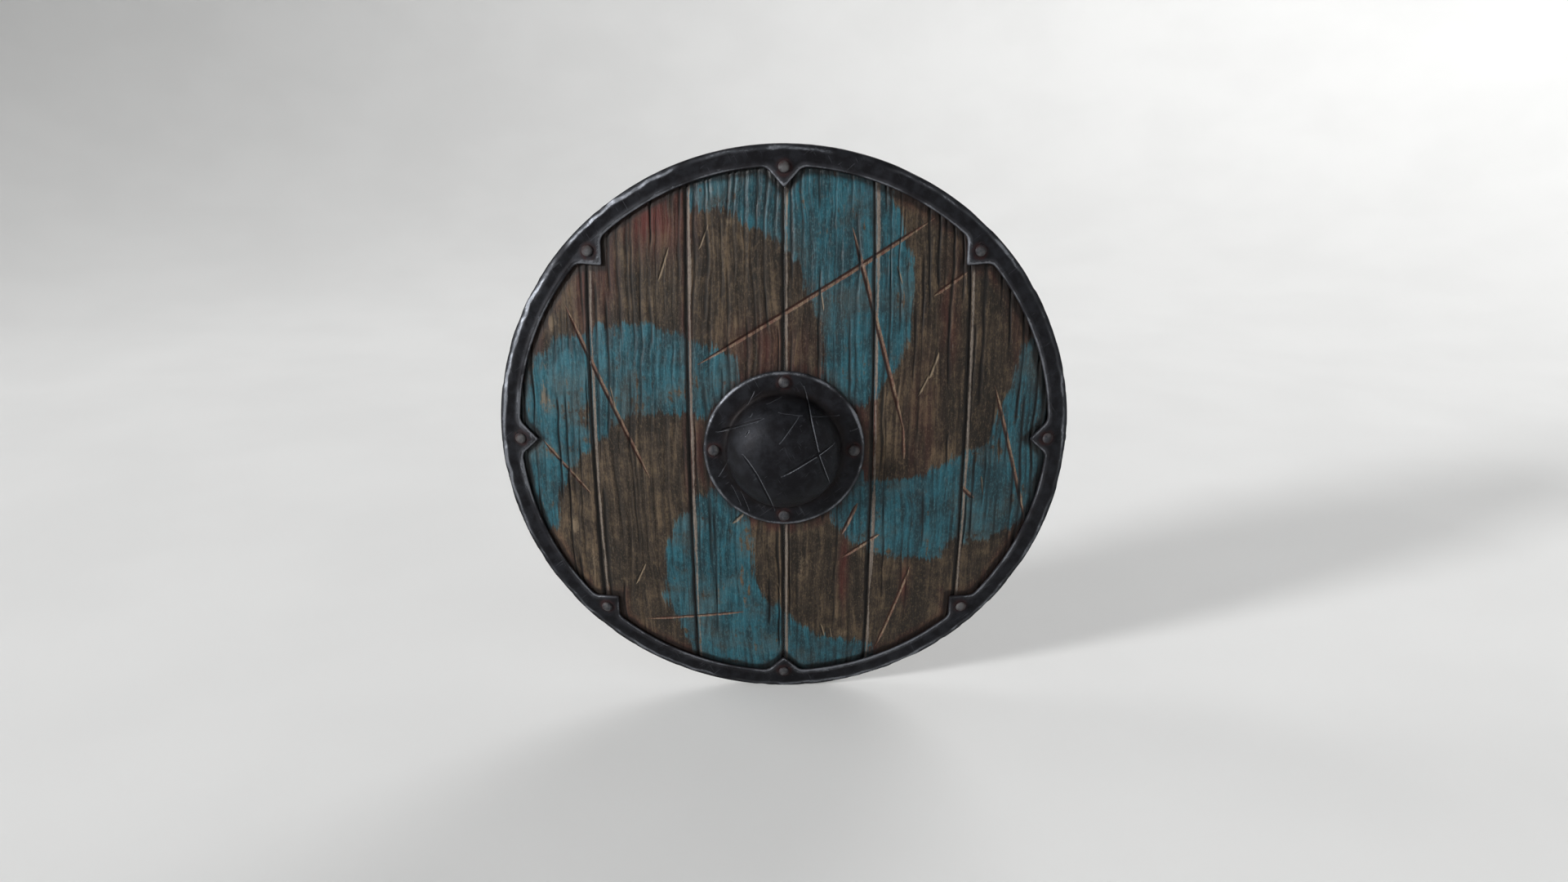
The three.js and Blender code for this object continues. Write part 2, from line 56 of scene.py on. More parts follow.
import bpy
import numpy as np
from bpy.props import FloatProperty, FloatVectorProperty, PointerProperty
from mathutils import Matrix, Vector

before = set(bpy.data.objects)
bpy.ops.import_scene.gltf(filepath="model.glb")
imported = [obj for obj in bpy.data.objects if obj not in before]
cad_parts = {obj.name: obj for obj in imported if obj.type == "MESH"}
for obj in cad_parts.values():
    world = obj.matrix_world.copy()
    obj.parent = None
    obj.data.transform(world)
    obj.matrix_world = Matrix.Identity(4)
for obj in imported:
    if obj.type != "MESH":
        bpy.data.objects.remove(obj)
CAD_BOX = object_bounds()

MM = 0.001

# The CAD model's sizes that the pieces follow, in millimetres. Depths are measured forwards from the
# dome's own zero, which lies GRIP_DEPTH in front of the frame's origin, and lifts square to the face.
SHIELD_RADIUS = 320.0
DOME_RISE = 55.0
FACE_SETBACK = 5.3
FACE_RADIUS = (SHIELD_RADIUS**2 + DOME_RISE**2) / (2 * DOME_RISE)
FACE_CENTRE = DOME_RISE - FACE_SETBACK - FACE_RADIUS
GRIP_DEPTH = 32.2
SEAT_GAP = 0.3
BOARD_COUNT = 6
BOARD_THICKNESS = 10.0
BOARD_EDGE_RADIUS = 316.2
LAND_RADIUS = 305.2
LAND_DEPTH = -10.15
HAND_HOLE_RADIUS = 57.0
BACK_SEAT = -10.64
RIM_FOOT = 297.5
RIM_SHOULDER = 304.5
RIM_CREST = 313.5
RIM_CREST_DROP = 0.4
RIM_EDGE = 318.9
RIM_EDGE_ROUND = 1.1
RIM_BEVEL_DROP = 2.2
RIM_THICKNESS = 3.3
RIM_LIP = 4.6
RIM_LIP_HEIGHT = 1.2
REAR_DEPTH = -13.45
REAR_SEAT = -10.45
REAR_SEAT_BEND = 312.0
REAR_LEG_RADIUS = 306.0
INNER_WALL_RADIUS = 317.0
LUG_TIP = 276.6
LUG_HALF_WIDTH = 18.5
LUG_FILLET = 5.0
LUG_COUNT = 8
LUG_PITCH = 2 * math.pi / LUG_COUNT
FLANGE_RADIUS = 88.3
FLANGE_THICKNESS = 3.0
FLANGE_BEVEL_WIDTH = 3.6
FLANGE_BEVEL_DEPTH = 1.6
DOME_RADIUS = 62.5
DOME_HEIGHT = 48.0
DOME_ROUNDNESS = 2.3
BOSS_SHEET = 2.2
FILLET_RADIUS = 6.0
RIM_RIVET_RADIUS = 295.9
BOSS_RIVET_RADIUS = 76.2
COMPASS = ("e", "ne", "n", "nw", "w", "sw", "s", "se")
RIVET_HOLE = 3.3
NAIL_HOLE = 1.8
ROVE_THICKNESS = 1.5
HANDLE_REACH = 282.0
PAD_REACH = 100.7
GRIP_HALF_LENGTH = 44.0
GRIP_HALF_WIDTH = 13.5
GRIP_FRONT = -6.0
GRIP_BACK = -29.0
BATTEN_CHAMFER = 2.0
CROSS_PLACE = 150.0
CROSS_REACH = 238.04
NAIL_INSET = 14.0
NAIL_POINT = -3.5

# Lifts between which a drill runs: through the boards and battens, and through the front iron alone
BEHIND, CLEAR_BEHIND, CLEAR_IN_FRONT = -40.0, -3.0, 20.0

# What a board gains at a seam, so that no light shows through
JOINT_CLOSING = 0.19

# A half-width that stands for no cut at all
NO_CUT = -5.0

# How pale each board is, by its number
BOARD_TONES = (0.0, 0.018, -0.020, -0.016, -0.012, -0.006, -0.030)

# The swirl's four painted arms as outlines on the face, in millimetres right and up
ARMS = (
    ((40, 60), (40, 82), (39, 100), (38, 118), (37, 134), (35, 146), (27, 158), (23, 175), (21, 192),
     (9, 206), (1, 213), (-7, 221), (-22, 232), (-40, 243), (-56, 249), (-78, 253), (-103, 255),
     (-103, 330), (112, 330), (110, 270), (120, 255), (125, 242), (131, 222), (136, 196), (137, 168),
     (138, 148), (133, 122), (125, 102), (119, 86), (108, 73), (99, 60), (92, 50), (80, 40)),
    ((-48, 70), (-49, 84), (-51, 98), (-62, 104), (-75, 110), (-80, 117), (-103, 119), (-107, 127),
     (-122, 130), (-137, 134), (-152, 136), (-172, 134), (-190, 133), (-208, 130), (-214, 118),
     (-229, 122), (-242, 120), (-256, 111), (-266, 100), (-278, 92), (-330, 90), (-330, -118),
     (-264, -112), (-258, -98), (-256, -80), (-251, -62), (-246, -46), (-240, -31), (-230, -21),
     (-220, -8), (-213, 1), (-203, 4), (-194, 11), (-187, 24), (-173, 35), (-152, 33), (-132, 38),
     (-108, 38), (-96, 37), (-80, 40), (-60, 60)),
    ((-72, -40), (-85, -54), (-103, -56), (-106, -76), (-115, -80), (-121, -96), (-130, -114),
     (-136, -138), (-138, -165), (-135, -196), (-132, -214), (-124, -232), (-113, -250),
     (-112, -330), (118, -330), (112, -262), (95, -256), (64, -251), (50, -248), (34, -238),
     (20, -232), (10, -222), (2, -210), (-7, -203), (-17, -191), (-27, -178), (-32, -164),
     (-33, -148), (-37, -132), (-39, -108), (-38, -86), (-38, -60)),
    ((86, -20), (92, -36), (118, -38), (136, -37), (152, -34), (168, -28), (190, -21), (203, -10),
     (217, -4), (229, 6), (237, 22), (243, 38), (249, 54), (254, 72), (257, 90), (262, 104),
     (275, 116), (330, 120), (330, -104), (272, -106), (254, -113), (238, -119), (212, -122),
     (199, -118), (188, -121), (181, -138), (165, -141), (148, -138), (130, -135), (116, -130),
     (98, -128), (92, -110), (78, -116), (66, -101), (58, -92), (50, -84), (60, -50)),
)

# Cuts across the boards: from, to, half-width and depth
GOUGES = (
    ((-93, 93), (160, 244), 2.7, 2.0),
    ((72, 236), (131, 18), 2.7, 2.0),
    ((-238, 152), (-149, -38), 2.6, 1.8),
    ((-272, -1), (-218, -62), 2.2, 1.5),
    ((-165, -226), (-47, -208), 2.0, 1.3),
    ((232, 64), (279, -100), 2.4, 1.7),
    ((160, 164), (197, 188), 2.3, 1.6),
    ((66, -133), (108, -104), 2.4, 1.7),
    ((110, -264), (146, -147), 2.4, 1.7),
    ((65, -103), (82, -64), 2.4, 1.7),
    ((198, -50), (215, -67), 2.8, 1.9),
    ((130, 24), (132, -14), 1.8, 1.2),
)

# Places where a splinter came off, as the cuts are
CHIPS = (
    ((-134, 180), (-122, 216), 1.7, 1.1),
    ((-90, 213), (-80, 239), 1.5, 0.9),
    ((145, 56), (157, 80), 1.6, 1.0),
    ((157, 76), (167, 104), 2.1, 1.2),
    ((-173, -176), (-160, -147), 1.7, 1.0),
    ((-58, -89), (-45, -76), 2.3, 1.6),
    ((43, -226), (48, -246), 1.4, 0.8),
    ((54, -232), (56, -248), 1.2, 0.7),
    ((120, 196), (126, 176), 1.2, 0.7),
    ((-8, -166), (-4, -186), 1.3, 0.7),
    ((-190, 66), (-184, 36), 1.2, 0.7),
    ((38, 176), (42, 150), 1.2, 0.7),
    ((222, -40), (226, -66), 1.2, 0.7),
)

# Pale bare patches in the boards: centre, half-sizes and strength
PATCHES = (
    ((-254, 131), (9, 11), 1.0),
    ((-54, 240), (13, 8), 0.8),
    ((-243, -104), (7, 17), 1.0),
    ((-265, 52), (8, 24), 1.0),
    ((-262, 84), (9, 8), 0.8),
    ((160, 84), (9, 18), 0.7),
    ((-128, 196), (7, 16), 0.5),
    ((66, -240), (12, 8), 0.7),
    ((120, 128), (10, 22), 0.5),
    ((-222, -150), (10, 30), 0.5),
    ((-90, -20), (16, 40), 0.4),
    ((20, -150), (12, 36), 0.5),
)

# Red stain in the wood: centre, half-sizes and strength
STAINS = (
    ((-142, 242), (38, 30), 1.0),
    ((-152, 268), (60, 18), 0.9),
    ((-104, 60), (5, 120), 0.9),
    ((-104, 215), (4, 60), 0.7),
    ((-216, 160), (12, 60), 0.55),
    ((-194, 200), (16, 60), 0.5),
    ((97, 60), (4, 150), 0.6),
    ((92, 275), (26, 12), 0.8),
    ((62, 165), (34, 60), 0.12),
    ((68, -150), (5, 46), 0.8),
    ((140, -170), (5, 28), 0.7),
    ((178, 140), (10, 50), 0.5),
    ((-20, 110), (46, 28), 0.45),
    ((262, 150), (14, 60), 0.5),
    ((112, -273), (40, 10), 0.7),
    ((150, 10), (20, 90), 0.25),
)

# Scratches on the boss, as they lie on a flat sheet seen through from the front and above:
# points along each, half-width and depth
BOSS_SCRATCHES = (
    (((21.0, 74.5), (25.2, 55.1), (28.7, 35.9), (34.2, 11.0), (37.6, -4.4), (43.8, -21.4), (49.7, -34.5)),
     1.25, 1.0),
    (((-2.7, -27.3), (13.1, -17.8), (35.6, -3.0), (54.4, 11.4)), 1.2, 0.9),
    (((-72.8, 24.0), (-22.0, 38.8)), 1.25, 1.0),
    (((-45.2, -1.7), (-29.7, -25.6), (-10.2, -66.5)), 1.2, 0.9),
    (((-4.9, 10.3), (5.0, 24.9), (16.3, 41.8)), 0.5, 0.35),
    (((29.5, 41.0), (59.0, 42.6)), 0.45, 0.3),
    (((-5.5, 45.5), (19.4, 42.1)), 0.45, 0.3),
    (((-41.5, 19.0), (-37.7, 25.2)), 0.6, 0.4),
    (((-37.3, 40.4), (-34.1, 44.4)), 0.6, 0.4),
    (((-18.6, 55.1), (-2.9, 63.2)), 0.45, 0.3),
    (((-39.6, 53.7), (-31.6, 68.6)), 0.45, 0.3),
    (((71.0, 24.9), (80.2, 29.0)), 0.5, 0.4),
    (((-71.2, -27.0), (-60.2, -7.2)), 0.45, 0.3),
    (((-47.4, -44.2), (-38.2, -67.3)), 0.5, 0.4),
    (((-57.3, -37.0), (-47.2, -60.6)), 0.45, 0.3),
)

# The point that the scratches are seen from, in millimetres, and how far back the flat sheet stands
SIGHT = (0.0, -1118.3, 367.1)
SIGHT_SHEET = GRIP_DEPTH - 60.0


def shade_of(red, green, blue):
    """A colour given as 0 to 255 display values, as Blender's linear colour"""
    return tuple((value / 255 / 12.92) if value <= 10 else ((value / 255 + 0.055) / 1.055) ** 2.4
                 for value in (red, green, blue))


def length(name, description, millimetres):
    return FloatProperty(name=name, description=description, default=millimetres * MM, min=0.0,
                         unit="LENGTH", subtype="DISTANCE", precision=5)


def colour(name, description, *display):
    return FloatVectorProperty(name=name, description=description, default=shade_of(*display),
                               min=0.0, max=1.0, size=3, subtype="COLOR")


class ShieldSizes(bpy.types.PropertyGroup):
    """Sizes of the detail that the pieces carry"""

    column_step: length("Board column", "Widest step of a board's mesh across the grain", 1.25)
    row_step: length("Board row", "Step of a board's mesh along the grain", 1.9)
    crack_spacing: length("Crack spacing", "Mean distance from one grain crack to the next", 8.2)
    crack_half_width: length("Crack half-width", "Half the width of a mean grain crack", 2.15)
    crack_depth: length("Crack depth", "Depth of the deepest grain cracks", 1.9)
    grain_height: length("Grain height", "Height of the raised grain between the cracks", 0.5)
    seam_width: length("Seam bevel", "Width of the worn bevel along each seam", 5.2)
    seam_depth: length("Seam depth", "Depth of the groove along each seam", 2.6)
    rim_dents: length("Rim dents", "Depth of the hammer marks on the rim", 0.45)
    rim_chips: length("Rim chips", "Depth of the nicks along the rim's outer bevel", 1.3)
    boss_dents: length("Boss dents", "Depth of the hammer marks on the boss", 0.35)
    rivet_radius: length("Rivet radius", "Radius of a rivet's head", 6.3)
    rivet_height: length("Rivet height", "Height of a rivet's head", 3.8)
    rove_side: length("Rove side", "Side of the square plate behind a rivet", 13.0)
    nail_radius: length("Nail radius", "Radius of a nail's head", 4.0)
    stitch_spacing: length("Stitch spacing", "Distance between the stitches of the grip", 6.2)


class ShieldColours(bpy.types.PropertyGroup):
    """Colours of the finishes"""

    paint: colour("Paint", "The swirl's paint", 34, 84, 96)
    paint_pale: colour("Pale paint", "The paint where it is rubbed", 66, 116, 125)
    paint_dark: colour("Dark paint", "The paint where it is dirty", 23, 47, 54)
    wood_pale: colour("Pale wood", "The boards' pale streaks", 92, 77, 60)
    wood: colour("Wood", "The boards' weathered grain", 54, 45, 36)
    wood_dark: colour("Dark wood", "The boards' dark streaks", 29, 24, 19)
    # Also the colour of the painted shade under the rim, round the boss and in the boss's fillet
    crack_and_shade: colour("Crack", "The bottom of a crack or seam", 16, 12, 10)
    stain: colour("Stain", "The red stain in the boards", 82, 34, 30)
    gouge: colour("Gouge", "Fresh wood in a cut", 92, 67, 57)
    # Painted shade on each gouge's upper-left wall, the wall turned from the lamp
    cut_shade: colour("Dark cut", "The dirty wall of a cut", 54, 31, 24)
    splinter: colour("Splinter", "Pale wood where a splinter came off", 118, 103, 84)
    # Also the painted highlight on each seam's right bank and on the crack lips
    bevel: colour("Worn bevel", "Wood rubbed bare along a seam", 120, 110, 101)
    iron: colour("Iron", "The forged iron's scale", 34, 35, 39)
    iron_dark: colour("Dark iron", "The scale in its hollows", 22, 22, 25)
    iron_worn: colour("Worn iron", "Iron rubbed bright", 114, 117, 123)
    rust: colour("Rust", "Rust round the rivets", 46, 25, 24)
    rivet: colour("Rivet", "The rivets' heads", 84, 83, 83)
    batten: colour("Batten", "The battens of the back", 118, 90, 62)
    batten_dark: colour("Dark batten", "The battens' dark grain", 70, 50, 34)
    leather: colour("Leather", "The grip's leather", 82, 50, 32)
    thread: colour("Thread", "The grip's waxed thread", 164, 142, 104)
    floor: colour("Floor", "The floor and backdrop", 200, 200, 199)


# Fields over the face, in millimetres


def lattice(column, row, seed):
    """A repeatable value from -1 to 1 at each whole place"""
    mixed = (column * 374761393 + row * 668265263 + seed * 1442695041) & 0xFFFFFFFF
    mixed = ((mixed ^ (mixed >> 13)) * 1274126177) & 0xFFFFFFFF
    return ((mixed ^ (mixed >> 16)) & 0xFFFF) / 32767.5 - 1.0


def waves(across, along, seed):
    """Smooth noise from -1 to 1 with one wave to each unit"""
    column, row = np.floor(across), np.floor(along)
    right, up = across - column, along - row
    right, up = right * right * (3 - 2 * right), up * up * (3 - 2 * up)
    column, row = column.astype(np.int64), row.astype(np.int64)
    low = lattice(column, row, seed) * (1 - right) + lattice(column + 1, row, seed) * right
    high = lattice(column, row + 1, seed) * (1 - right) + lattice(column + 1, row + 1, seed) * right
    return low * (1 - up) + high * up


def unit(value):
    """The value, kept between 0 and 1"""
    return np.clip(value, 0, 1)


def smooth(value, low, high):
    """A soft step from 0 at low to 1 at high"""
    share = unit((value - low) / (high - low))
    return share * share * (3 - 2 * share)


def hump(value, width):
    """A bell from 1 at zero to nearly 0 two widths away"""
    return np.exp(-((value / width) ** 2))


def blobs(across, up, rows):
    """The strongest of some soft ellipses at each place"""
    most = np.zeros(across.shape)
    for (x, z), (wide, tall), strength in rows:
        most = np.maximum(most, strength * np.exp(-(((across - x) / wide) ** 2) - ((up - z) / tall) ** 2))
    return most


def depth_at(radius, lift=0.0):
    """Depth of the dome's face, or of a surface that lies a lift above it, at a radius"""
    return FACE_CENTRE + np.sqrt((FACE_RADIUS + lift) ** 2 - radius**2)


def in_frame(across, depth, up):
    """Places in metres from right, forward depth and up in millimetres"""
    return np.stack([across, GRIP_DEPTH - depth, up], axis=-1) * MM


def on_dome(across, up, lift):
    """Places in metres at a lift above the face"""
    return in_frame(across, depth_at(np.hypot(across, up), lift), up)


def along_cut(across, up, start, end):
    """How far each place is from a straight cut, and its share of the way along"""
    way = np.subtract(end, start)
    share = ((across - start[0]) * way[0] + (up - start[1]) * way[1]) / way.dot(way)
    near = unit(share)
    return np.hypot(across - start[0] - near * way[0], up - start[1] - near * way[1]), share


def cut_marks(across, up, cuts):
    """Distance across the nearest cut, positive on its upper left, its half-width and the groove's depth"""
    far, deepest = 9.0, -20.0
    side, width = np.full(across.shape, far), np.zeros(across.shape)
    margin, groove = np.full(across.shape, -far), np.zeros(across.shape)
    for start, end, half, deep, *span in cuts:
        away, share = along_cut(across, up, start, end)
        first, last = span or (0.0, 1.0)
        way = np.subtract(end, start) / math.dist(start, end)
        upper = np.array([-way[1], way[0]]) * (1 if way[0] > -way[1] else -1)
        offset = (across - start[0]) * upper[0] + (up - start[1]) * upper[1]
        whole = first + (last - first) * unit(share)
        taper = unit(7 * whole * (1 - whole)) ** 0.8
        here = half * (0.12 + 0.88 * taper)
        nearer = here - away > margin
        margin = np.where(nearer, here - away, margin)
        side = np.where(nearer, offset, side)
        fall = 5.0 * np.maximum(away - here - 0.8, 0.0)
        width = np.where(nearer, here - away + np.abs(offset) - fall, width)
        groove = np.maximum(groove, deep * taper * smooth(-away, -here, 0.0))
    return np.clip(side, -far, far), np.clip(width, deepest, far), groove


def rounded(outline, passes=2):
    """An outline with its corners cut off, and the new corners again"""
    points = np.array(outline, dtype=float)
    for _ in range(passes):
        following = np.roll(points, -1, axis=0)
        pairs = [0.75 * points + 0.25 * following, 0.25 * points + 0.75 * following]
        points = np.stack(pairs, axis=1).reshape(-1, 2)
    return points


class PaintMap:
    """Signed distance to the swirl's edge on a coarse lattice, positive in the paint"""

    STEP = 2.5
    EXTENT = 330.0

    def __init__(self):
        self.ticks = np.arange(-self.EXTENT, self.EXTENT + self.STEP, self.STEP)
        across, up = np.meshgrid(self.ticks, self.ticks, indexing="ij")
        inside = np.zeros(across.shape, dtype=bool)
        nearest = np.full(across.shape, np.inf)
        for outline in ARMS:
            points = rounded(outline)
            within = np.zeros(across.shape, dtype=bool)
            for (x0, z0), (x1, z1) in zip(points, np.roll(points, -1, axis=0)):
                away, _ = along_cut(across, up, (x0, z0), (x1, z1))
                nearest = np.minimum(nearest, away)
                if z0 != z1:
                    crossed = (z0 > up) != (z1 > up)
                    within ^= crossed & (across < (x1 - x0) * (up - z0) / (z1 - z0) + x0)
            inside |= within
        self.values = np.where(inside, nearest, -nearest)

    def at(self, across, up):
        """The distance between the lattice's places, blended from its four nearest"""
        column, row = (across - self.ticks[0]) / self.STEP, (up - self.ticks[0]) / self.STEP
        limit = len(self.values) - 2
        left, low = (np.clip(np.floor(v), 0, limit).astype(int) for v in (column, row))
        right, rise = unit(column - left), unit(row - low)
        v = self.values
        return ((v[left, low] * (1 - right) + v[left + 1, low] * right) * (1 - rise)
                + (v[left, low + 1] * (1 - right) + v[left + 1, low + 1] * right) * rise)


def rim_inset(radius, angle):
    """How far a place lies inside the rim's inner outline, lugs and fillets included"""
    turn = (angle + LUG_PITCH / 2) % LUG_PITCH - LUG_PITCH / 2
    across = np.sqrt((radius * np.sin(turn)) ** 2 + 1.0) - 1.0
    slope = LUG_HALF_WIDTH / (math.sqrt(RIM_FOOT**2 - LUG_HALF_WIDTH**2) - LUG_TIP)
    side = ((radius * np.cos(turn) - LUG_TIP) * slope - across) / math.sqrt(1 + slope**2)
    ring = radius - RIM_FOOT
    blend = np.maximum(LUG_FILLET - np.abs(side - ring), 0) / LUG_FILLET
    return np.maximum(side, ring) + blend * blend * LUG_FILLET / 4


def rivet_places():
    """(name, across, up) of the rim's eight rivets and of the boss's four"""
    places = []
    for prefix, names, radius in (("rim", COMPASS, RIM_RIVET_RADIUS),
                                  ("boss", COMPASS[::2], BOSS_RIVET_RADIUS)):
        for step, name in enumerate(names):
            angle = 2 * math.pi * step / len(names)
            places.append((f"{prefix}_{{}}_{name}", radius * math.cos(angle), radius * math.sin(angle)))
    return places


def rivet_spots(prefix=""):
    """Where the rivets of the rim, of the boss or of both stand"""
    return [(x, z) for name, x, z in rivet_places() if name.startswith(prefix)]


def rivet_distance(across, up):
    return np.min([np.hypot(across - x, up - z) for x, z in rivet_spots()], axis=0)


# Mesh tools


def deselect():
    if bpy.context.mode != "OBJECT":
        bpy.ops.object.mode_set(mode="OBJECT")
    bpy.ops.object.select_all(action="DESELECT")


def pick(piece):
    deselect()
    piece.select_set(True)
    bpy.context.view_layer.objects.active = piece


@contextmanager
def editing(piece):
    """Edit mode on one piece, with all of it selected"""
    pick(piece)
    bpy.ops.object.mode_set(mode="EDIT")
    bpy.ops.mesh.select_all(action="SELECT")
    yield
    bpy.ops.object.mode_set(mode="OBJECT")


def points_of(piece):
    """The piece's vertices in millimetres"""
    places = np.empty(len(piece.data.vertices) * 3, dtype=np.float32)
    piece.data.vertices.foreach_get("co", places)
    return places.reshape(-1, 3).astype(float) / MM


def place_points(piece, places):
    """Sets the piece's vertices from places in metres"""
    piece.data.vertices.foreach_set("co", np.asarray(places, dtype=np.float32).ravel())
    piece.data.update()


def mark(piece, **layers):
    """Writes attributes that the material reads: a number for all vertices, or a value or vector for each"""
    for name, values in layers.items():
        values = np.asarray(values, dtype=np.float32)
        if values.ndim == 0:
            values = np.full(len(piece.data.vertices), values)
        vector = values.ndim == 2
        layer = piece.data.attributes.new(name, "FLOAT_VECTOR" if vector else "FLOAT", "POINT")
        layer.data.foreach_set("vector" if vector else "value", values.ravel())


def joined(pieces):
    """The first piece, with the others joined to it"""
    pick(pieces[0])
    for piece in pieces[1:]:
        piece.select_set(True)
    if len(pieces) > 1:
        bpy.ops.object.join()
    return pieces[0]


def twin(piece, matrix):
    """A copy with its own mesh, moved by a matrix"""
    copy = piece.copy()
    copy.data = piece.data.copy()
    copy.data.transform(matrix)
    bpy.context.collection.objects.link(copy)
    return copy


def drop(*pieces):
    for piece in pieces:
        mesh = piece.data
        bpy.data.objects.remove(piece)
        bpy.data.meshes.remove(mesh)


def modify(piece, kind, **settings):
    """Adds a modifier and applies it"""
    modifier = piece.modifiers.new("change", kind)
    for name, value in settings.items():
        setattr(modifier, name, value)
    pick(piece)
    bpy.ops.object.modifier_apply(modifier=modifier.name)


def boolean(piece, cutter, operation):
    modify(piece, "BOOLEAN", operation=operation, object=cutter, solver="MANIFOLD")


def sheet_piece(columns, rows):
    """A grid primitive from -1 to 1 both ways"""
    deselect()
    bpy.ops.mesh.primitive_grid_add(x_subdivisions=columns, y_subdivisions=rows, size=2.0)
    return bpy.context.object


def cells_of(piece, columns, rows):
    """The column and the row of each vertex of a sheet that isn't laid in its place yet"""
    across, up, _ = points_of(piece).T * MM
    return [np.rint((place + 1) / 2 * count).astype(int) for place, count in ((across, columns), (up, rows))]


def close_up(piece, merge=0.00001, fill=True):
    """Merges doubles, fills what is open and points the faces outwards"""
    with editing(piece):
        bpy.ops.mesh.remove_doubles(threshold=merge)
        if fill:
            bpy.ops.mesh.fill_holes(sides=0)
            bpy.ops.mesh.select_all(action="SELECT")
        bpy.ops.mesh.normals_make_consistent(inside=False)


def turned(profile, steps, stations=False, parts=1):
    """A piece spun round the Y axis from (radius, height) pairs in millimetres, a part of a turn at a time"""
    mesh = bpy.data.meshes.new("profile")
    points = [(radius * MM, height * MM, 0.0) for radius, height in profile]
    mesh.from_pydata(points, [(step, step + 1) for step in range(len(points) - 1)], [])
    piece = bpy.data.objects.new("profile", mesh)
    bpy.context.collection.objects.link(piece)
    if stations:
        layer = mesh.attributes.new("station", "INT", "POINT")
        layer.data.foreach_set("value", np.arange(len(points), dtype=np.int32))
    with editing(piece):
        bpy.ops.mesh.spin(steps=steps // parts, angle=2 * math.pi / parts, center=(0, 0, 0), axis=(0, 1, 0))
    copies = [twin(piece, Matrix.Rotation(2 * math.pi * part / parts, 4, "Y")) for part in range(1, parts)]
    joined([piece, *copies])
    close_up(piece, 0.000002)
    return piece


def stations_of(piece):
    """The number of the profile's point that each vertex was spun from"""
    values = np.empty(len(piece.data.vertices), dtype=np.int32)
    piece.data.attributes["station"].data.foreach_get("value", values)
    piece.data.attributes.remove(piece.data.attributes["station"])
    return values


def face_frame(across, up):
    """The frame on the boards' face whose Y axis points out of it, in metres"""
    out = Vector((across, -math.sqrt(FACE_RADIUS**2 - across**2 - up**2), up)).normalized()
    angle = math.atan2(up, across)
    round_axis = Vector((-math.sin(angle), 0.0, math.cos(angle)))
    place = on_dome(np.array(across), np.array(up), 0.0)
    basis = Matrix((round_axis, out, round_axis.cross(out))).transposed().to_4x4()
    return Matrix.Translation(Vector(place.tolist())) @ basis


def rods(places, radius, low, high, sides=20):
    """One cutter of rods square to the face, from a low to a high lift"""
    stand = Matrix.Translation((0, (high + low) / 2 * MM, 0)) @ Matrix.Rotation(math.pi / 2, 4, "X")
    made = []
    for across, up in places:
        deselect()
        bpy.ops.mesh.primitive_cylinder_add(vertices=sides, radius=radius * MM, depth=(high - low) * MM)
        made.append(bpy.context.object)
        made[-1].data.transform(face_frame(across, up) @ stand)
    return joined(made)


def drill(piece, places, radius, low, high, sides=20):
    cutter = rods(places, radius, low, high, sides)
    boolean(piece, cutter, "DIFFERENCE")
    drop(cutter)


def finish_piece(piece, name, node, material, angle=40.0):
    """Names and dresses a piece, smooths it up to an angle, and hands it to the frame for a CAD node"""
    piece.name = piece.data.name = name
    piece.data.materials.clear()
    piece.data.materials.append(material)
    pick(piece)
    bpy.ops.object.shade_smooth_by_angle(angle=math.radians(angle))
    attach(piece, "root")
    if node:
        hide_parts(node)


# Shader tools


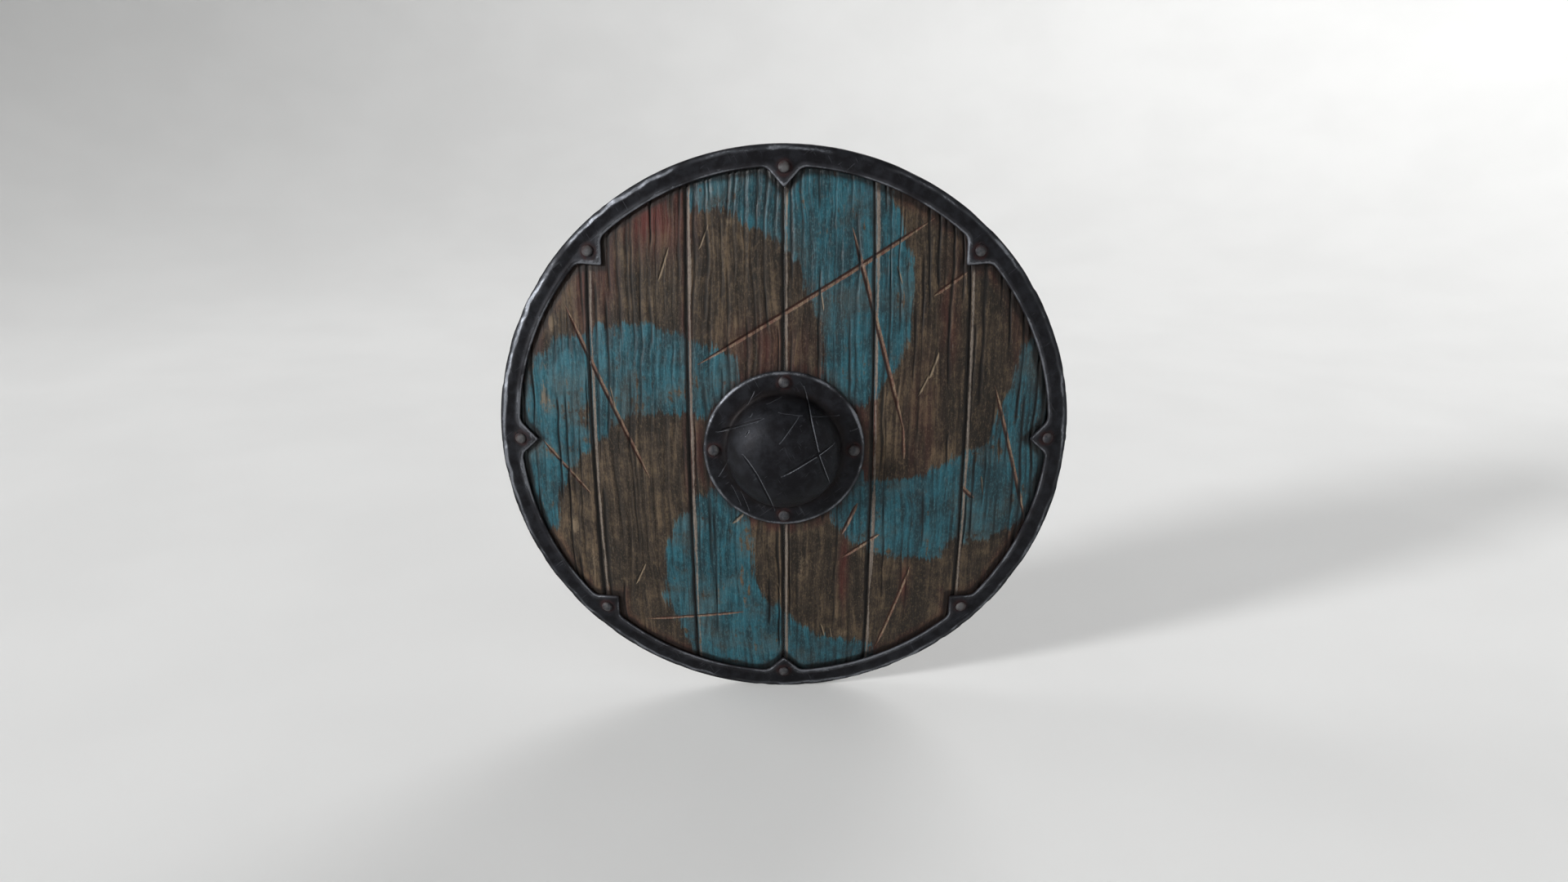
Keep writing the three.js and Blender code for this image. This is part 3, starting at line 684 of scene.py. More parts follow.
class Shader:
    """Adds and joins the nodes of one tree"""

    def __init__(self, tree):
        self.tree = tree
        self.count = 0

    def node(self, kind, **settings):
        made = self.tree.nodes.new(kind)
        made.location = (190 * (self.count // 4), -230 * (self.count % 4))
        self.count += 1
        for name, value in settings.items():
            setattr(made, name, value)
        return made

    def feed(self, socket, value):
        if isinstance(value, bpy.types.NodeSocket):
            self.tree.links.new(value, socket)
        elif value is not None:
            if socket.type == "RGBA" and len(value) == 3:
                value = (*value, 1.0)
            socket.default_value = value

    def maths(self, operation, first, second=None):
        made = self.node("ShaderNodeMath", operation=operation)
        self.feed(made.inputs[0], first)
        self.feed(made.inputs[1], second)
        return made.outputs[0]

    def times(self, *values):
        result = values[0]
        for value in values[1:]:
            result = self.maths("MULTIPLY", result, value)
        return result

    def plus(self, *values):
        result = values[0]
        for value in values[1:]:
            result = self.maths("ADD", result, value)
        return result

    def swing(self, value, amount):
        """A noise's swing about its middle, times an amount"""
        return self.times(self.plus(value, -0.5), amount)

    def rest(self, value):
        return self.maths("SUBTRACT", 1.0, value)

    def greatest(self, first, *others):
        for other in others:
            first = self.maths("MAXIMUM", first, other)
        return first

    def fit(self, value, low, high, to_low=0.0, to_high=1.0):
        """A soft step between two values, as smooth is for the meshes"""
        made = self.node("ShaderNodeMapRange", interpolation_type="SMOOTHSTEP")
        for socket, number in zip(made.inputs[:5], (value, low, high, to_low, to_high)):
            self.feed(socket, number)
        return made.outputs[0]

    def mix(self, share, first, second):
        made = self.node("ShaderNodeMix", data_type="RGBA")
        self.feed(made.inputs[0], share)
        self.feed(made.inputs[6], first)
        self.feed(made.inputs[7], second)
        return made.outputs[2]

    def coats(self, tint, *coats):
        """Lays coats over a tint in their order, each a share and a colour"""
        for share, colour_over in coats:
            tint = self.mix(share, tint, colour_over)
        return tint

    def ramp(self, value, *stops):
        made = self.node("ShaderNodeValToRGB")
        band = made.color_ramp
        while len(band.elements) < len(stops):
            band.elements.new(0.5)
        for element, (place, tint) in zip(band.elements, stops):
            element.position = place
            element.color = (*tint, 1.0)
        self.feed(made.inputs[0], value)
        return made.outputs[0]

    def noise(self, vector, scale, detail=3.0, roughness=0.55, distortion=0.0):
        made = self.node("ShaderNodeTexNoise")
        for name, value in (("Vector", vector), ("Scale", scale), ("Detail", detail),
                            ("Roughness", roughness), ("Distortion", distortion)):
            self.feed(made.inputs[name], value)
        return made.outputs[0]

    def stretched(self, vector, scale):
        made = self.node("ShaderNodeMapping")
        self.feed(made.inputs["Vector"], vector)
        self.feed(made.inputs["Scale"], scale)
        return made.outputs[0]

    def attribute(self, name, output="Fac"):
        return self.node("ShaderNodeAttribute", attribute_name=name).outputs[output]

    def place(self):
        return self.node("ShaderNodeTexCoord").outputs["Object"]

    def cut(self, name):
        """Distance across a cut and the depth inside its edge, both in millimetres"""
        side = self.attribute(name + "_side")
        return side, self.maths("SUBTRACT", self.attribute(name + "_half"), self.maths("ABSOLUTE", side))

    def bump(self, height, millimetres):
        made = self.node("ShaderNodeBump")
        made.inputs["Strength"].default_value = 1.0
        made.inputs["Distance"].default_value = millimetres * MM
        self.feed(made.inputs["Height"], height)
        return made.outputs[0]

    def group(self, tree, **values):
        made = self.node("ShaderNodeGroup", node_tree=tree)
        for name, value in values.items():
            self.feed(made.inputs[name.replace("_", " ")], value)
        return made.outputs


def node_group(name, inputs, outputs, fill):
    """A shader group built once; fill gets the tools and the input sockets and returns the outputs"""
    if name in bpy.data.node_groups:
        return bpy.data.node_groups[name]
    tree = bpy.data.node_groups.new(name, "ShaderNodeTree")
    for title, default in inputs.items():
        kind = "NodeSocketVector" if default is None else "NodeSocketFloat"
        socket = tree.interface.new_socket(name=title, in_out="INPUT", socket_type=kind)
        if default is not None:
            socket.default_value = default
    for title in outputs:
        tree.interface.new_socket(name=title, in_out="OUTPUT", socket_type="NodeSocketFloat")
    shader = Shader(tree)
    entry = shader.node("NodeGroupInput")
    results = fill(shader, *(entry.outputs[title] for title in inputs))
    leave = shader.node("NodeGroupOutput")
    for title, value in zip(outputs, results):
        shader.feed(leave.inputs[title], value)
    return tree


def grain_group():
    """Streaks, fibres and patches of wood along the Z of its flow"""

    def fill(shader, flow, coarse):
        streaks = shader.noise(shader.stretched(flow, (1, 1, 0.06)), coarse, 3, 0.55, 0.25)
        fibres = shader.noise(shader.stretched(flow, (1, 1, 0.09)), shader.times(coarse, 3.4), 2, 0.55)
        patches = shader.noise(shader.stretched(flow, (1, 1, 0.35)), shader.times(coarse, 0.12), 3, 0.55)
        return streaks, fibres, patches

    return node_group("Wood Grain", {"Flow": None, "Coarse": 210.0}, ("Streaks", "Fibres", "Patches"), fill)


def wear_group():
    """Where a rubbed edge shows through: a mask broken up by fine noise"""

    def fill(shader, mask, flow, scale):
        broken = shader.noise(flow, scale, 4, 0.65)
        fine = shader.noise(flow, shader.times(scale, 4.3), 2, 0.6)
        total = shader.plus(mask, shader.swing(broken, 1.0), shader.swing(fine, 0.6))
        return (shader.fit(total, 0.42, 0.68),)

    return node_group("Edge Wear", {"Mask": 0.0, "Flow": None, "Scale": 150.0}, ("Worn",), fill)


def grime_group():
    """Soft dirt and stain, gathered where its mask is high"""

    def fill(shader, mask, flow, scale):
        cloud = shader.noise(flow, scale, 5, 0.6)
        return (shader.times(mask, shader.fit(cloud, 0.28, 0.62)),)

    return node_group("Grime", {"Mask": 0.0, "Flow": None, "Scale": 45.0}, ("Dirt",), fill)


def hairline_group():
    """Short fine scratches that lie two ways, in clusters"""

    def fill(shader, place, scale):
        lines = []
        for turn in (0.5, -0.9):
            laid = shader.node("ShaderNodeMapping")
            shader.feed(laid.inputs["Vector"], place)
            laid.inputs["Rotation"].default_value = (0.0, turn, 0.0)
            fine = shader.noise(shader.stretched(laid.outputs[0], (1, 0.25, 0.05)), scale, 1, 0.5)
            lines.append(shader.fit(fine, 0.68, 0.73))
        cluster = shader.noise(place, shader.times(scale, 0.06), 2, 0.5)
        return (shader.times(shader.greatest(*lines), shader.fit(cluster, 0.48, 0.60)),)

    return node_group("Hairlines", {"Place": None, "Scale": 800.0}, ("Hairlines",), fill)


# Materials


def new_material(name):
    """A material with its tools and its shader"""
    material = bpy.data.materials.new(name)
    material.use_nodes = True
    material.node_tree.nodes.clear()
    shader = Shader(material.node_tree)
    output = shader.node("ShaderNodeOutputMaterial")
    surface = shader.node("ShaderNodeBsdfPrincipled")
    material.node_tree.links.new(surface.outputs[0], output.inputs["Surface"])
    return material, shader, surface.inputs


class BoardFinish:
    """Weathered wood and worn paint in front and sawn wood behind, led by the marks of Board.mark_up"""

    def __init__(self, colours):
        self.colours = colours
        self.material, self.shader, surface = new_material("weathered_boards")
        shader = self.shader
        self.flow, self.face = shader.attribute("grain", "Vector"), shader.attribute("face")
        grain = shader.group(grain_group(), Flow=self.flow, Coarse=210.0)
        self.streaks, self.fibres, patches = grain["Streaks"], grain["Fibres"], grain["Patches"]
        place = shader.place()
        self.blotches = shader.noise(place, 30.0, 4, 0.6)
        self.bare = shader.noise(place, 34.0, 5, 0.68)
        self.chalky = shader.noise(place, 16.0, 3, 0.6)
        self.dirt = shader.noise(shader.stretched(place, (1, 1, 0.5)), 170.0, 4, 0.7)
        self.speckle = shader.noise(shader.stretched(self.flow, (1, 1, 0.45)), 620.0, 3, 0.7)
        self.threads = shader.fit(self.fibres, 0.43, 0.35)
        self.board_tone = shader.attribute("tone")
        self.tone = shader.plus(shader.times(self.streaks, 0.40), shader.times(patches, 0.22),
                                shader.times(self.blotches, 0.38), self.board_tone)
        self.groove = shader.attribute("groove")
        self.side, self.deep = shader.cut("cut")
        self.chip_side, self.chip_deep = shader.cut("chip")
        self.pale = self.pale_share()
        self.rub = shader.times(self.group_along(wear_group, "rub", 0.2, 240.0, "Worn"), self.face)
        self.painted = self.painted_share()
        tint = self.cut_open_and_shaded(self.stained_and_highlighted(shader.mix(self.painted, self.wood(), self.paint())))
        shader.feed(surface["Base Color"], shader.mix(shader.rest(self.face), tint, self.sawn()))
        rough = shader.fit(self.painted, 0.0, 1.0, 0.66, 0.46)
        shader.feed(surface["Roughness"], shader.plus(rough, shader.swing(self.speckle, 0.4)))
        shader.feed(surface["Normal"], shader.bump(self.height(), 1.5))
        surface["Specular IOR Level"].default_value = 0.25

    def group_along(self, group, name, stretch, scale, output):
        """A group fed by a mark, drawn out along the grain"""
        flow = self.shader.stretched(self.flow, (1, 1, stretch))
        return self.shader.group(group(), Mask=self.shader.attribute(name), Flow=flow, Scale=scale)[output]

    def pale_share(self):
        """Where the wood is bleached, broken up by the noises"""
        shader = self.shader
        broken = shader.plus(shader.swing(self.bare, 1.6), shader.swing(self.streaks, 1.5),
                             shader.swing(self.speckle, 0.9))
        patchy = shader.plus(shader.times(shader.attribute("pale"), 0.9), broken)
        return shader.times(shader.fit(patchy, 0.45, 0.95), self.face)

    def painted_share(self):
        """Where paint is left: the swirl with a fringed edge, less its holes and rubbed places, the painted
        highlight's places among them
        """
        shader = self.shader
        fringe = shader.plus(shader.swing(self.streaks, 26.0), shader.swing(self.fibres, 12.0),
                             shader.swing(self.blotches, 22.0))
        swirl = shader.fit(shader.plus(shader.attribute("paint"), fringe), -2.2, 2.6)
        holes = shader.plus(shader.times(self.bare, 0.62), shader.times(self.streaks, 0.38))
        return shader.times(
            swirl, shader.fit(holes, 0.635, 0.565), self.face, shader.rest(shader.times(self.rub, 0.8)),
            shader.fit(self.speckle, 0.74, 0.60, 0.35, 1.0), shader.rest(shader.times(self.pale, 0.75)))

    def wood(self):
        shader, colours = self.shader, self.colours
        stops = (0.42, colours.wood_dark), (0.50, colours.wood), (0.60, colours.wood_pale)
        return shader.coats(
            shader.ramp(self.tone, *stops),
            (shader.times(self.threads, 0.3), colours.wood_dark),
            (shader.fit(self.dirt, 0.48, 0.36, 0.0, 0.6), colours.wood_dark),
            (shader.fit(self.dirt, 0.54, 0.68, 0.0, 0.45), colours.wood_pale),
            (shader.fit(self.speckle, 0.50, 0.36, 0.0, 0.5), colours.wood_dark),
            (shader.fit(self.speckle, 0.52, 0.66, 0.0, 0.5), colours.wood_pale),
            (shader.times(self.pale, 0.65), colours.splinter),
        )

    def paint(self):
        shader, colours = self.shader, self.colours
        return shader.coats(
            shader.mix(shader.fit(self.tone, 0.42, 0.56), colours.paint_dark, colours.paint),
            (shader.fit(self.speckle, 0.48, 0.70, 0.0, 0.55), colours.paint_pale),
            (shader.times(self.threads, 0.3), colours.paint_dark),
            (shader.fit(self.dirt, 0.48, 0.34, 0.0, 0.6), colours.paint_dark),
            (shader.fit(self.dirt, 0.54, 0.72, 0.0, 0.5), colours.wood),
            (shader.fit(self.chalky, 0.46, 0.66, 0.0, 0.2), colours.wood_pale),
        )

    def stained_and_highlighted(self, tint):
        """Red stain in the bare wood, and wood rubbed pale, with the painted highlight on the seams' right
        banks and the crack lips
        """
        shader = self.shader
        stain = self.group_along(grime_group, "stain", 0.16, 110.0, "Dirt")
        stained = shader.times(stain, self.face, shader.rest(shader.times(self.painted, 0.8)), 0.85)
        rubbed = shader.times(self.rub, shader.fit(self.speckle, 0.35, 0.62, 0.45, 0.8))
        return shader.coats(tint, (stained, self.colours.stain), (rubbed, self.colours.bevel))

    def cut_open_and_shaded(self, tint):
        """Chips and gouges with painted shade on their upper-left walls, cracks and seams, and painted shade
        under the rim and round the boss
        """
        shader, colours = self.shader, self.colours
        chip = shader.fit(shader.plus(self.chip_deep, shader.swing(self.fibres, 3.0)), -0.3, 0.5)
        gouge = shader.fit(shader.plus(self.deep, shader.swing(self.fibres, 1.2)), -0.2, 0.3)
        # Painted shade: each chip's upper-left side, turned from the lamp, darkens to the dark wood colour
        splinter_shaded = shader.mix(shader.fit(self.chip_side, -0.3, 0.5), colours.splinter, colours.wood_dark)
        fresh = shader.mix(shader.fit(self.speckle, 0.40, 0.60), colours.gouge, colours.splinter)
        fresh = shader.mix(shader.fit(self.streaks, 0.60, 0.42, 0.0, 0.35), fresh, colours.stain)
        # Painted shade: the upper-left wall of each gouge, turned from the lamp, takes the dark cut colour
        cut = shader.mix(shader.fit(self.side, -0.4, 0.6), fresh, colours.cut_shade)
        sunk = shader.mix(shader.times(self.painted, 0.5), colours.crack_and_shade, colours.paint_dark)
        groove = shader.times(self.groove, self.face)
        return shader.coats(
            tint,
            (shader.times(chip, self.face, 0.75), splinter_shaded),
            (shader.times(gouge, self.face, 0.94), cut),
            (shader.fit(groove, 0.06, 0.5, 0.0, 0.9), sunk),
            (shader.fit(groove, 0.45, 0.85, 0.0, 0.9), colours.crack_and_shade),
            # Painted shade under the rim and round the boss, in the crack colour
            (shader.times(shader.attribute("shade"), self.face, 0.86), colours.crack_and_shade),
        )

    def sawn(self):
        """The boards' unpainted backs, dark along the seams"""
        shader, colours = self.shader, self.colours
        smoky = shader.plus(self.blotches, shader.times(self.board_tone, 3.0))
        return shader.coats(
            shader.ramp(self.tone, (0.42, colours.batten_dark), (0.56, colours.wood_pale)),
            (shader.times(self.threads, 0.45), colours.wood_dark),
            (shader.fit(self.bare, 0.42, 0.68, 0.0, 0.6), colours.wood),
            (shader.fit(smoky, 0.42, 0.62, 0.0, 0.55), colours.wood_dark),
            (shader.fit(self.groove, 0.15, 0.8, 0.0, 0.95), colours.crack_and_shade),
        )

    def height(self):
        """The fine relief that the mesh doesn't carry"""
        shader = self.shader
        return shader.plus(
            shader.times(self.fibres, 0.12), shader.times(self.streaks, 0.72),
            shader.times(self.painted, 0.12), shader.times(self.dirt, 0.22),
            shader.times(self.speckle, 0.14), shader.times(self.threads, -0.10),
            shader.times(shader.fit(self.deep, 0.0, 2.4), self.face, -0.55),
            shader.times(shader.fit(self.chip_deep, 0.0, 1.6), self.face, -0.3))


def bare_wood(name, colours):
    """Planed ash, darker where hands have held it"""
    material, shader, surface = new_material(name)
    grain = shader.group(grain_group(), Flow=shader.attribute("grain", "Vector"), Coarse=420.0)
    handled = shader.attribute("rub")
    tone = shader.plus(shader.times(grain["Streaks"], 0.7), shader.times(grain["Patches"], 0.3))
    grime = shader.group(grime_group(), Mask=handled, Flow=shader.place(), Scale=60.0)
    tint = shader.coats(
        shader.ramp(tone, (0.36, colours.batten_dark), (0.6, colours.batten)),
        (shader.fit(grain["Fibres"], 0.58, 0.4, 0.0, 0.45), colours.batten_dark),
        (shader.times(grime["Dirt"], 0.7), colours.wood_dark),
    )
    shader.feed(surface["Base Color"], tint)
    polish = shader.plus(handled, shader.times(grain["Fibres"], 0.3))
    shader.feed(surface["Roughness"], shader.fit(polish, 0.1, 1.1, 0.74, 0.45))
    height = shader.plus(shader.times(grain["Fibres"], 0.5), grain["Streaks"])
    shader.feed(surface["Normal"], shader.bump(height, 0.35))
    return material


def forged_iron(name, colours, scale_tint, dark_tint, flow_name=None, rubbed=1.0, metal=0.55):
    """Dark scale, rubbed bright at its edges with the rim's painted glints, scratched with a painted
    highlight on each scratch's lower edge, rusty round the rivets, and darkened where painted shade is marked
    """
    material, shader, surface = new_material(name)
    place = shader.place()
    flow = shader.attribute(flow_name, "Vector") if flow_name else place
    edges = shader.attribute("wear")
    mottle = shader.noise(place, 70.0, 5, 0.62)
    pits = shader.noise(place, 520.0, 3, 0.6)
    hair = shader.group(hairline_group(), Place=place, Scale=760.0)["Hairlines"]
    side, deep = shader.cut("scratch")
    half = shader.attribute("scratch_half")
    # lit: a painted highlight on each scratch's lower edge, the wall that faces the lamp
    lit = shader.times(shader.fit(shader.maths("ABSOLUTE", shader.plus(half, side, 0.15)), 1.0, 0.35),
                       shader.fit(deep, -1.1, -0.5), shader.fit(half, 0.3, 1.1, 0.3, 0.9))
    worn = shader.group(wear_group(), Mask=shader.times(edges, rubbed), Flow=flow, Scale=170.0)["Worn"]
    # worn also carries the scratches' painted highlight
    worn = shader.greatest(worn, shader.times(hair, 0.18), lit)
    rusty = shader.group(grime_group(), Mask=shader.attribute("rust"), Flow=place, Scale=120.0)["Dirt"]
    tint = shader.coats(
        shader.mix(shader.fit(mottle, 0.38, 0.64), dark_tint, scale_tint),
        (shader.fit(edges, 0.08, 0.8, 0.0, 0.45), colours.iron_worn),
        (shader.times(worn, shader.fit(pits, 0.3, 0.6, 0.55, 1.0)), colours.iron_worn),
        (shader.times(rusty, 0.85), colours.rust),
        (shader.fit(deep, 0.05, 0.4, 0.0, 0.85), dark_tint),
        # Painted shade where the shade mark is high, in the crack colour
        (shader.times(shader.attribute("shade"), 0.8), colours.crack_and_shade),
    )
    shader.feed(surface["Base Color"], tint)
    bright = shader.plus(shader.times(worn, 0.35), shader.fit(rusty, 0.0, 0.8, metal, 0.1))
    shader.feed(surface["Metallic"], shader.maths("MINIMUM", bright, 1.0))
    rough = shader.plus(shader.fit(mottle, 0.3, 0.7, 0.46, 0.60), shader.times(rusty, 0.25),
                        shader.times(worn, -0.04), shader.swing(pits, 0.2))
    shader.feed(surface["Roughness"], rough)
    surface["Specular IOR Level"].default_value = 0.15
    height = shader.plus(mottle, shader.times(pits, 0.22), shader.times(hair, 0.05), shader.times(rusty, 0.3),
                         shader.times(worn, -0.15), shader.times(shader.fit(deep, -0.1, 0.9), -1.0))
    shader.feed(surface["Normal"], shader.bump(height, 0.55))
    return material


def grip_leather(name, colours):
    """Creased leather, darkened by the hand"""
    material, shader, surface = new_material(name)
    place = shader.place()
    creases = shader.noise(shader.stretched(place, (2.2, 1, 1)), 120.0, 4, 0.6, 0.5)
    pores = shader.noise(place, 1500.0, 3, 0.6)
    handled = shader.attribute("rub")
    tint = shader.mix(shader.fit(creases, 0.35, 0.65), colours.batten_dark, colours.leather)
    tint = shader.mix(shader.times(handled, shader.fit(creases, 0.45, 0.62, 0.0, 0.6)), tint, colours.crack_and_shade)
    shader.feed(surface["Base Color"], tint)
    shader.feed(surface["Roughness"], shader.fit(shader.plus(handled, creases), 0.4, 1.5, 0.66, 0.36))
    shader.feed(surface["Normal"], shader.bump(shader.plus(creases, shader.times(pores, 0.25)), 0.5))
    return material


def waxed_thread(name, colours):
    """Pale thread with dark gaps between its strands"""
    material, shader, surface = new_material(name)
    twist = shader.noise(shader.stretched(shader.place(), (1, 1, 0.3)), 2200.0, 2, 0.5, 0.6)
    tint = shader.mix(shader.fit(twist, 0.4, 0.6), colours.leather, colours.thread)
    shader.feed(surface["Base Color"], tint)
    shader.feed(surface["Roughness"], shader.fit(twist, 0.3, 0.7, 0.75, 0.6))
    shader.feed(surface["Normal"], shader.bump(twist, 0.2))
    return material


def once(name, build, *values):
    """The material of that name, built the first time that it is asked for"""
    return bpy.data.materials.get(name) or build(name, *values)


def iron_material(colours):
    return once("forged_iron", forged_iron, colours, colours.iron, colours.iron_dark, "flow")


def rivet_material(colours):
    return once("peened_rivets", forged_iron, colours, colours.rivet, colours.iron, None, 0.8, 0.25)


def nail_material(colours):
    return once("rusty_nails", forged_iron, colours, colours.rivet, colours.rust, None, 0.5)


def wood_material(colours):
    return once("planed_battens", bare_wood, colours)


# Boards


class Board:
    """One board's edges, grain cracks and relief"""

    # Steps from a seam at which the mesh has columns, and the least distance between two columns
    SEAM_STEPS = (0.8, 1.7, 2.7, 3.9)
    CLOSEST = 0.45

    # How far the outermost columns and rows reach past the disc that the board is cut to
    SPARE_WIDTH, SPARE_LENGTH = 8.0, 5.0

    # A distance that stands for no seam on that side
    NO_SEAM = 99.0

    def __init__(self, number, sizes):
        self.node, self.number, self.seed = f"board_{number}", number, 31 * number
        low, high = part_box(self.node)
        self.left, self.right = low[0] / MM - JOINT_CLOSING, high[0] / MM + JOINT_CLOSING
        self.half_length = high[2] / MM
        self.open_left, self.open_right = number == 1, number == BOARD_COUNT
        self.crack_width, self.crack_reach = sizes.crack_half_width / MM, sizes.crack_depth / MM
        self.seam_width, self.seam_reach = sizes.seam_width / MM, sizes.seam_depth / MM
        self.grain_height = sizes.grain_height / MM
        self.column_step, self.row_step = sizes.column_step / MM, sizes.row_step / MM
        self.cracks = self.grow_cracks(sizes.crack_spacing / MM)

    def grow_cracks(self, spacing):
        """Cracks in broken runs: place across, start, end, depth as a share and width as a share"""
        rng = np.random.default_rng(400 + self.number)
        margin = 4.5
        room = self.right - self.left - 2 * margin
        count = max(3, int(room / spacing))
        starts = self.left + margin + (np.arange(count) + 0.5 + rng.uniform(-0.3, 0.3, count)) * room / count
        cracks = []
        for place in starts:
            base = rng.uniform(-self.half_length, 0)
            weight = rng.choice([0.45, 0.75, 1.0], p=[0.35, 0.35, 0.3])
            while base < self.half_length:
                run = rng.uniform(60, 300)
                depth = weight * rng.uniform(0.7, 1.0)
                cracks.append((place, base, base + run, depth, rng.uniform(0.75, 1.35)))
                base += run + rng.uniform(8, 60)
                weight = rng.choice([0.4, 0.7, 1.0], p=[0.35, 0.35, 0.3])
        return cracks

    def along(self, up, pitch, number, row=0):
        """Noise that runs up the board alone"""
        return waves(up / pitch, up * 0 + row, self.seed + number)

    def waver(self, grain, up):
        """How far the grain wanders sideways, nothing at the board's edges"""
        wander = (3.4 * waves(grain / 46, up / 105, self.seed)
                  + 1.6 * waves(grain / 15, up / 40, self.seed + 1)
                  + 0.6 * waves(grain / 9, up / 15, self.seed + 2))
        edge = np.minimum(grain - self.left, self.right - grain)
        return wander * smooth(edge, 0.0, 12.0)

    def grain_of(self, across, up, rounds=5):
        """The straight grain's place that has wandered to each place, found in a few rounds"""
        grain = across
        for _ in range(rounds):
            grain = across - self.waver(grain, up)
        return grain

    def crack_depth(self, grain, up):
        """Depth of the grain cracks as a share, and the raised lips on their right banks, which the colour
        also paints pale as a painted highlight
        """
        deep, lips = np.zeros(grain.shape), np.zeros(grain.shape)
        fade = 24
        for number, (place, start, end, weight, width) in enumerate(self.cracks):
            run = smooth(up, start, start + fade) * smooth(-up, -end, -end + fade)
            run = run * (0.75 + 0.25 * self.along(up, 26, 7, number)) * weight
            away = (grain - place) / (self.crack_width * width)
            deep = np.maximum(deep, run * unit(1 - np.abs(away)) ** 0.8)
            # Lips on the right bank alone, the side that faces the lamp
            lips = np.maximum(lips, run * unit(1 - np.abs(away - 1.9)))
        return deep, lips

    def seam_bevel(self, across, up):
        """Share of the seam's depth at each place"""
        share = np.zeros(across.shape)
        for edge, is_open, row in ((across - self.left, self.open_left, 3),
                                   (self.right - across, self.open_right, 9)):
            if not is_open:
                uneven = 1 + 0.28 * self.along(up, 19, 11, row) + 0.16 * self.along(up, 6, 12, row)
                share = np.maximum(share, unit(1 - edge / (self.seam_width * uneven)) ** 1.35)
        return share

    def relief(self, grain, across, up):
        """How far the worn face lies under the sound one"""
        cracks, lips = self.crack_depth(grain, up)
        ridges = (0.72 * (1 + waves(grain / 2.8, up / 46, self.seed + 5))
                  + 0.2 * (1 + waves(grain / 1.9, up / 17, self.seed + 6)))
        hollow = 0.5 + 0.5 * waves(grain / 38, up / 150, self.seed + 4)
        worn = 0.35 * hollow + self.grain_height * ridges - 0.3 * lips
        cuts = cut_marks(across, up, GOUGES)[2] + cut_marks(across, up, CHIPS)[2]
        total = worn + cracks * self.crack_reach + 0.7 * cuts
        total = np.maximum(total, self.seam_bevel(across, up) * self.seam_reach)
        sink_at_rim = 0.9 * smooth(rim_inset(np.hypot(across, up), np.arctan2(up, across)), -9.0, -4.0)
        return np.clip(total + sink_at_rim, 0.03, 4.2)

    def saw_marks(self, grain, across, up):
        """How far the sawn back lies inside the sound one, its eased edges included"""
        waved = (0.11 * (1 + waves(across / 30, up / 5.5 + across / 60, self.seed + 21))
                 + 0.10 * (1 + waves(grain / 3, up / 60, self.seed + 22)))
        edge = np.minimum(*self.from_seams(grain))
        return waved + 1.3 * unit(1 - edge / (1.5 + 0.4 * self.along(up, 22, 23)))

    def from_seams(self, across):
        """Distance from the board's left and from its right seam"""
        from_left = across - self.left if not self.open_left else np.full(across.shape, self.NO_SEAM)
        from_right = self.right - across if not self.open_right else np.full(across.shape, self.NO_SEAM)
        return from_left, from_right

    def columns(self):
        """Where the mesh has columns: at each crack's middle and lips, close at the seams, and between"""
        marks = [self.left, self.right]
        for place in sorted({place for place, *_ in self.cracks}):
            marks += [place + self.crack_width * share for share in (-1.05, 0, 1.05, 2.1)]
        if not self.open_left:
            marks += [self.left + step for step in self.SEAM_STEPS]
        if not self.open_right:
            marks += [self.right - step for step in self.SEAM_STEPS]
        marks = sorted(mark for mark in marks if self.left <= mark <= self.right)
        kept = [marks[0]]
        for place in marks[1:-1]:
            if place - kept[-1] > self.CLOSEST and marks[-1] - place > self.CLOSEST:
                kept.append(place)
        kept.append(marks[-1])
        filled = []
        for start, end in zip(kept, kept[1:]):
            count = max(1, math.ceil((end - start) / self.column_step))
            filled += list(np.linspace(start, end, count, endpoint=False))
        columns = np.array(filled + [kept[-1]])
        if self.open_left:
            columns[0] -= self.SPARE_WIDTH
        if self.open_right:
            columns[-1] += self.SPARE_WIDTH
        return columns

    def build(self, disc, holes):
        """The board as a sheet laid on the dome, given its thickness, cut round and drilled"""
        columns = self.columns()
        reach = self.half_length + self.SPARE_LENGTH
        rows = np.linspace(-reach, reach, int(2 * reach / self.row_step) + 1)
        piece = sheet_piece(len(columns) - 1, len(rows) - 1)
        with editing(piece):
            bpy.ops.mesh.extrude_region_move(TRANSFORM_OT_translate={"value": (0, 0, -1.0)})
        column, row = cells_of(piece, len(columns) - 1, len(rows) - 1)
        behind = points_of(piece)[:, 2] * MM < -0.5
        grain, up = columns[column], rows[row]
        across = grain + self.waver(grain, up)
        back = self.saw_marks(grain, across, up) - BOARD_THICKNESS
        lift = np.where(behind, back, -self.relief(grain, across, up))
        near = np.clip(np.hypot(across, up), 0, 400)
        place_points(piece, in_frame(across, depth_at(near, lift), up))
        close_up(piece)
        boolean(piece, disc, "INTERSECT")
        boolean(piece, holes, "DIFFERENCE")
        return piece

    def seam_marks(self, across, up):
        """Dark groove of each seam in front, wider on the seam's left side as painted shade, the dark groove
        at the back, and the rubbed edges beside it, strongest on the seam's right bank as a painted highlight
        """
        from_left, from_right = self.from_seams(across)
        uneven = 1 + 0.25 * self.along(up, 17, 33)
        # Painted shade: the dark reaches further in from a board's right edge, on the seam's side turned from
        # the lamp
        front = np.maximum(unit(1 - from_left / 1.9),
                           unit(1 - from_right / (4.2 * uneven)) ** 0.8)
        back = unit(1 - np.minimum(from_left, from_right) / 2.4)
        wide = 1.9 + 0.5 * self.along(up, 48, 34)
        # Rubbed edges with a painted highlight: strongest at each board's left edge, the seam's bank that
        # faces the lamp
        rubbed = hump(from_left - 1.2 - wide, wide) + 0.3 * hump(from_right - 5.4, 1.2)
        return front, back, rubbed

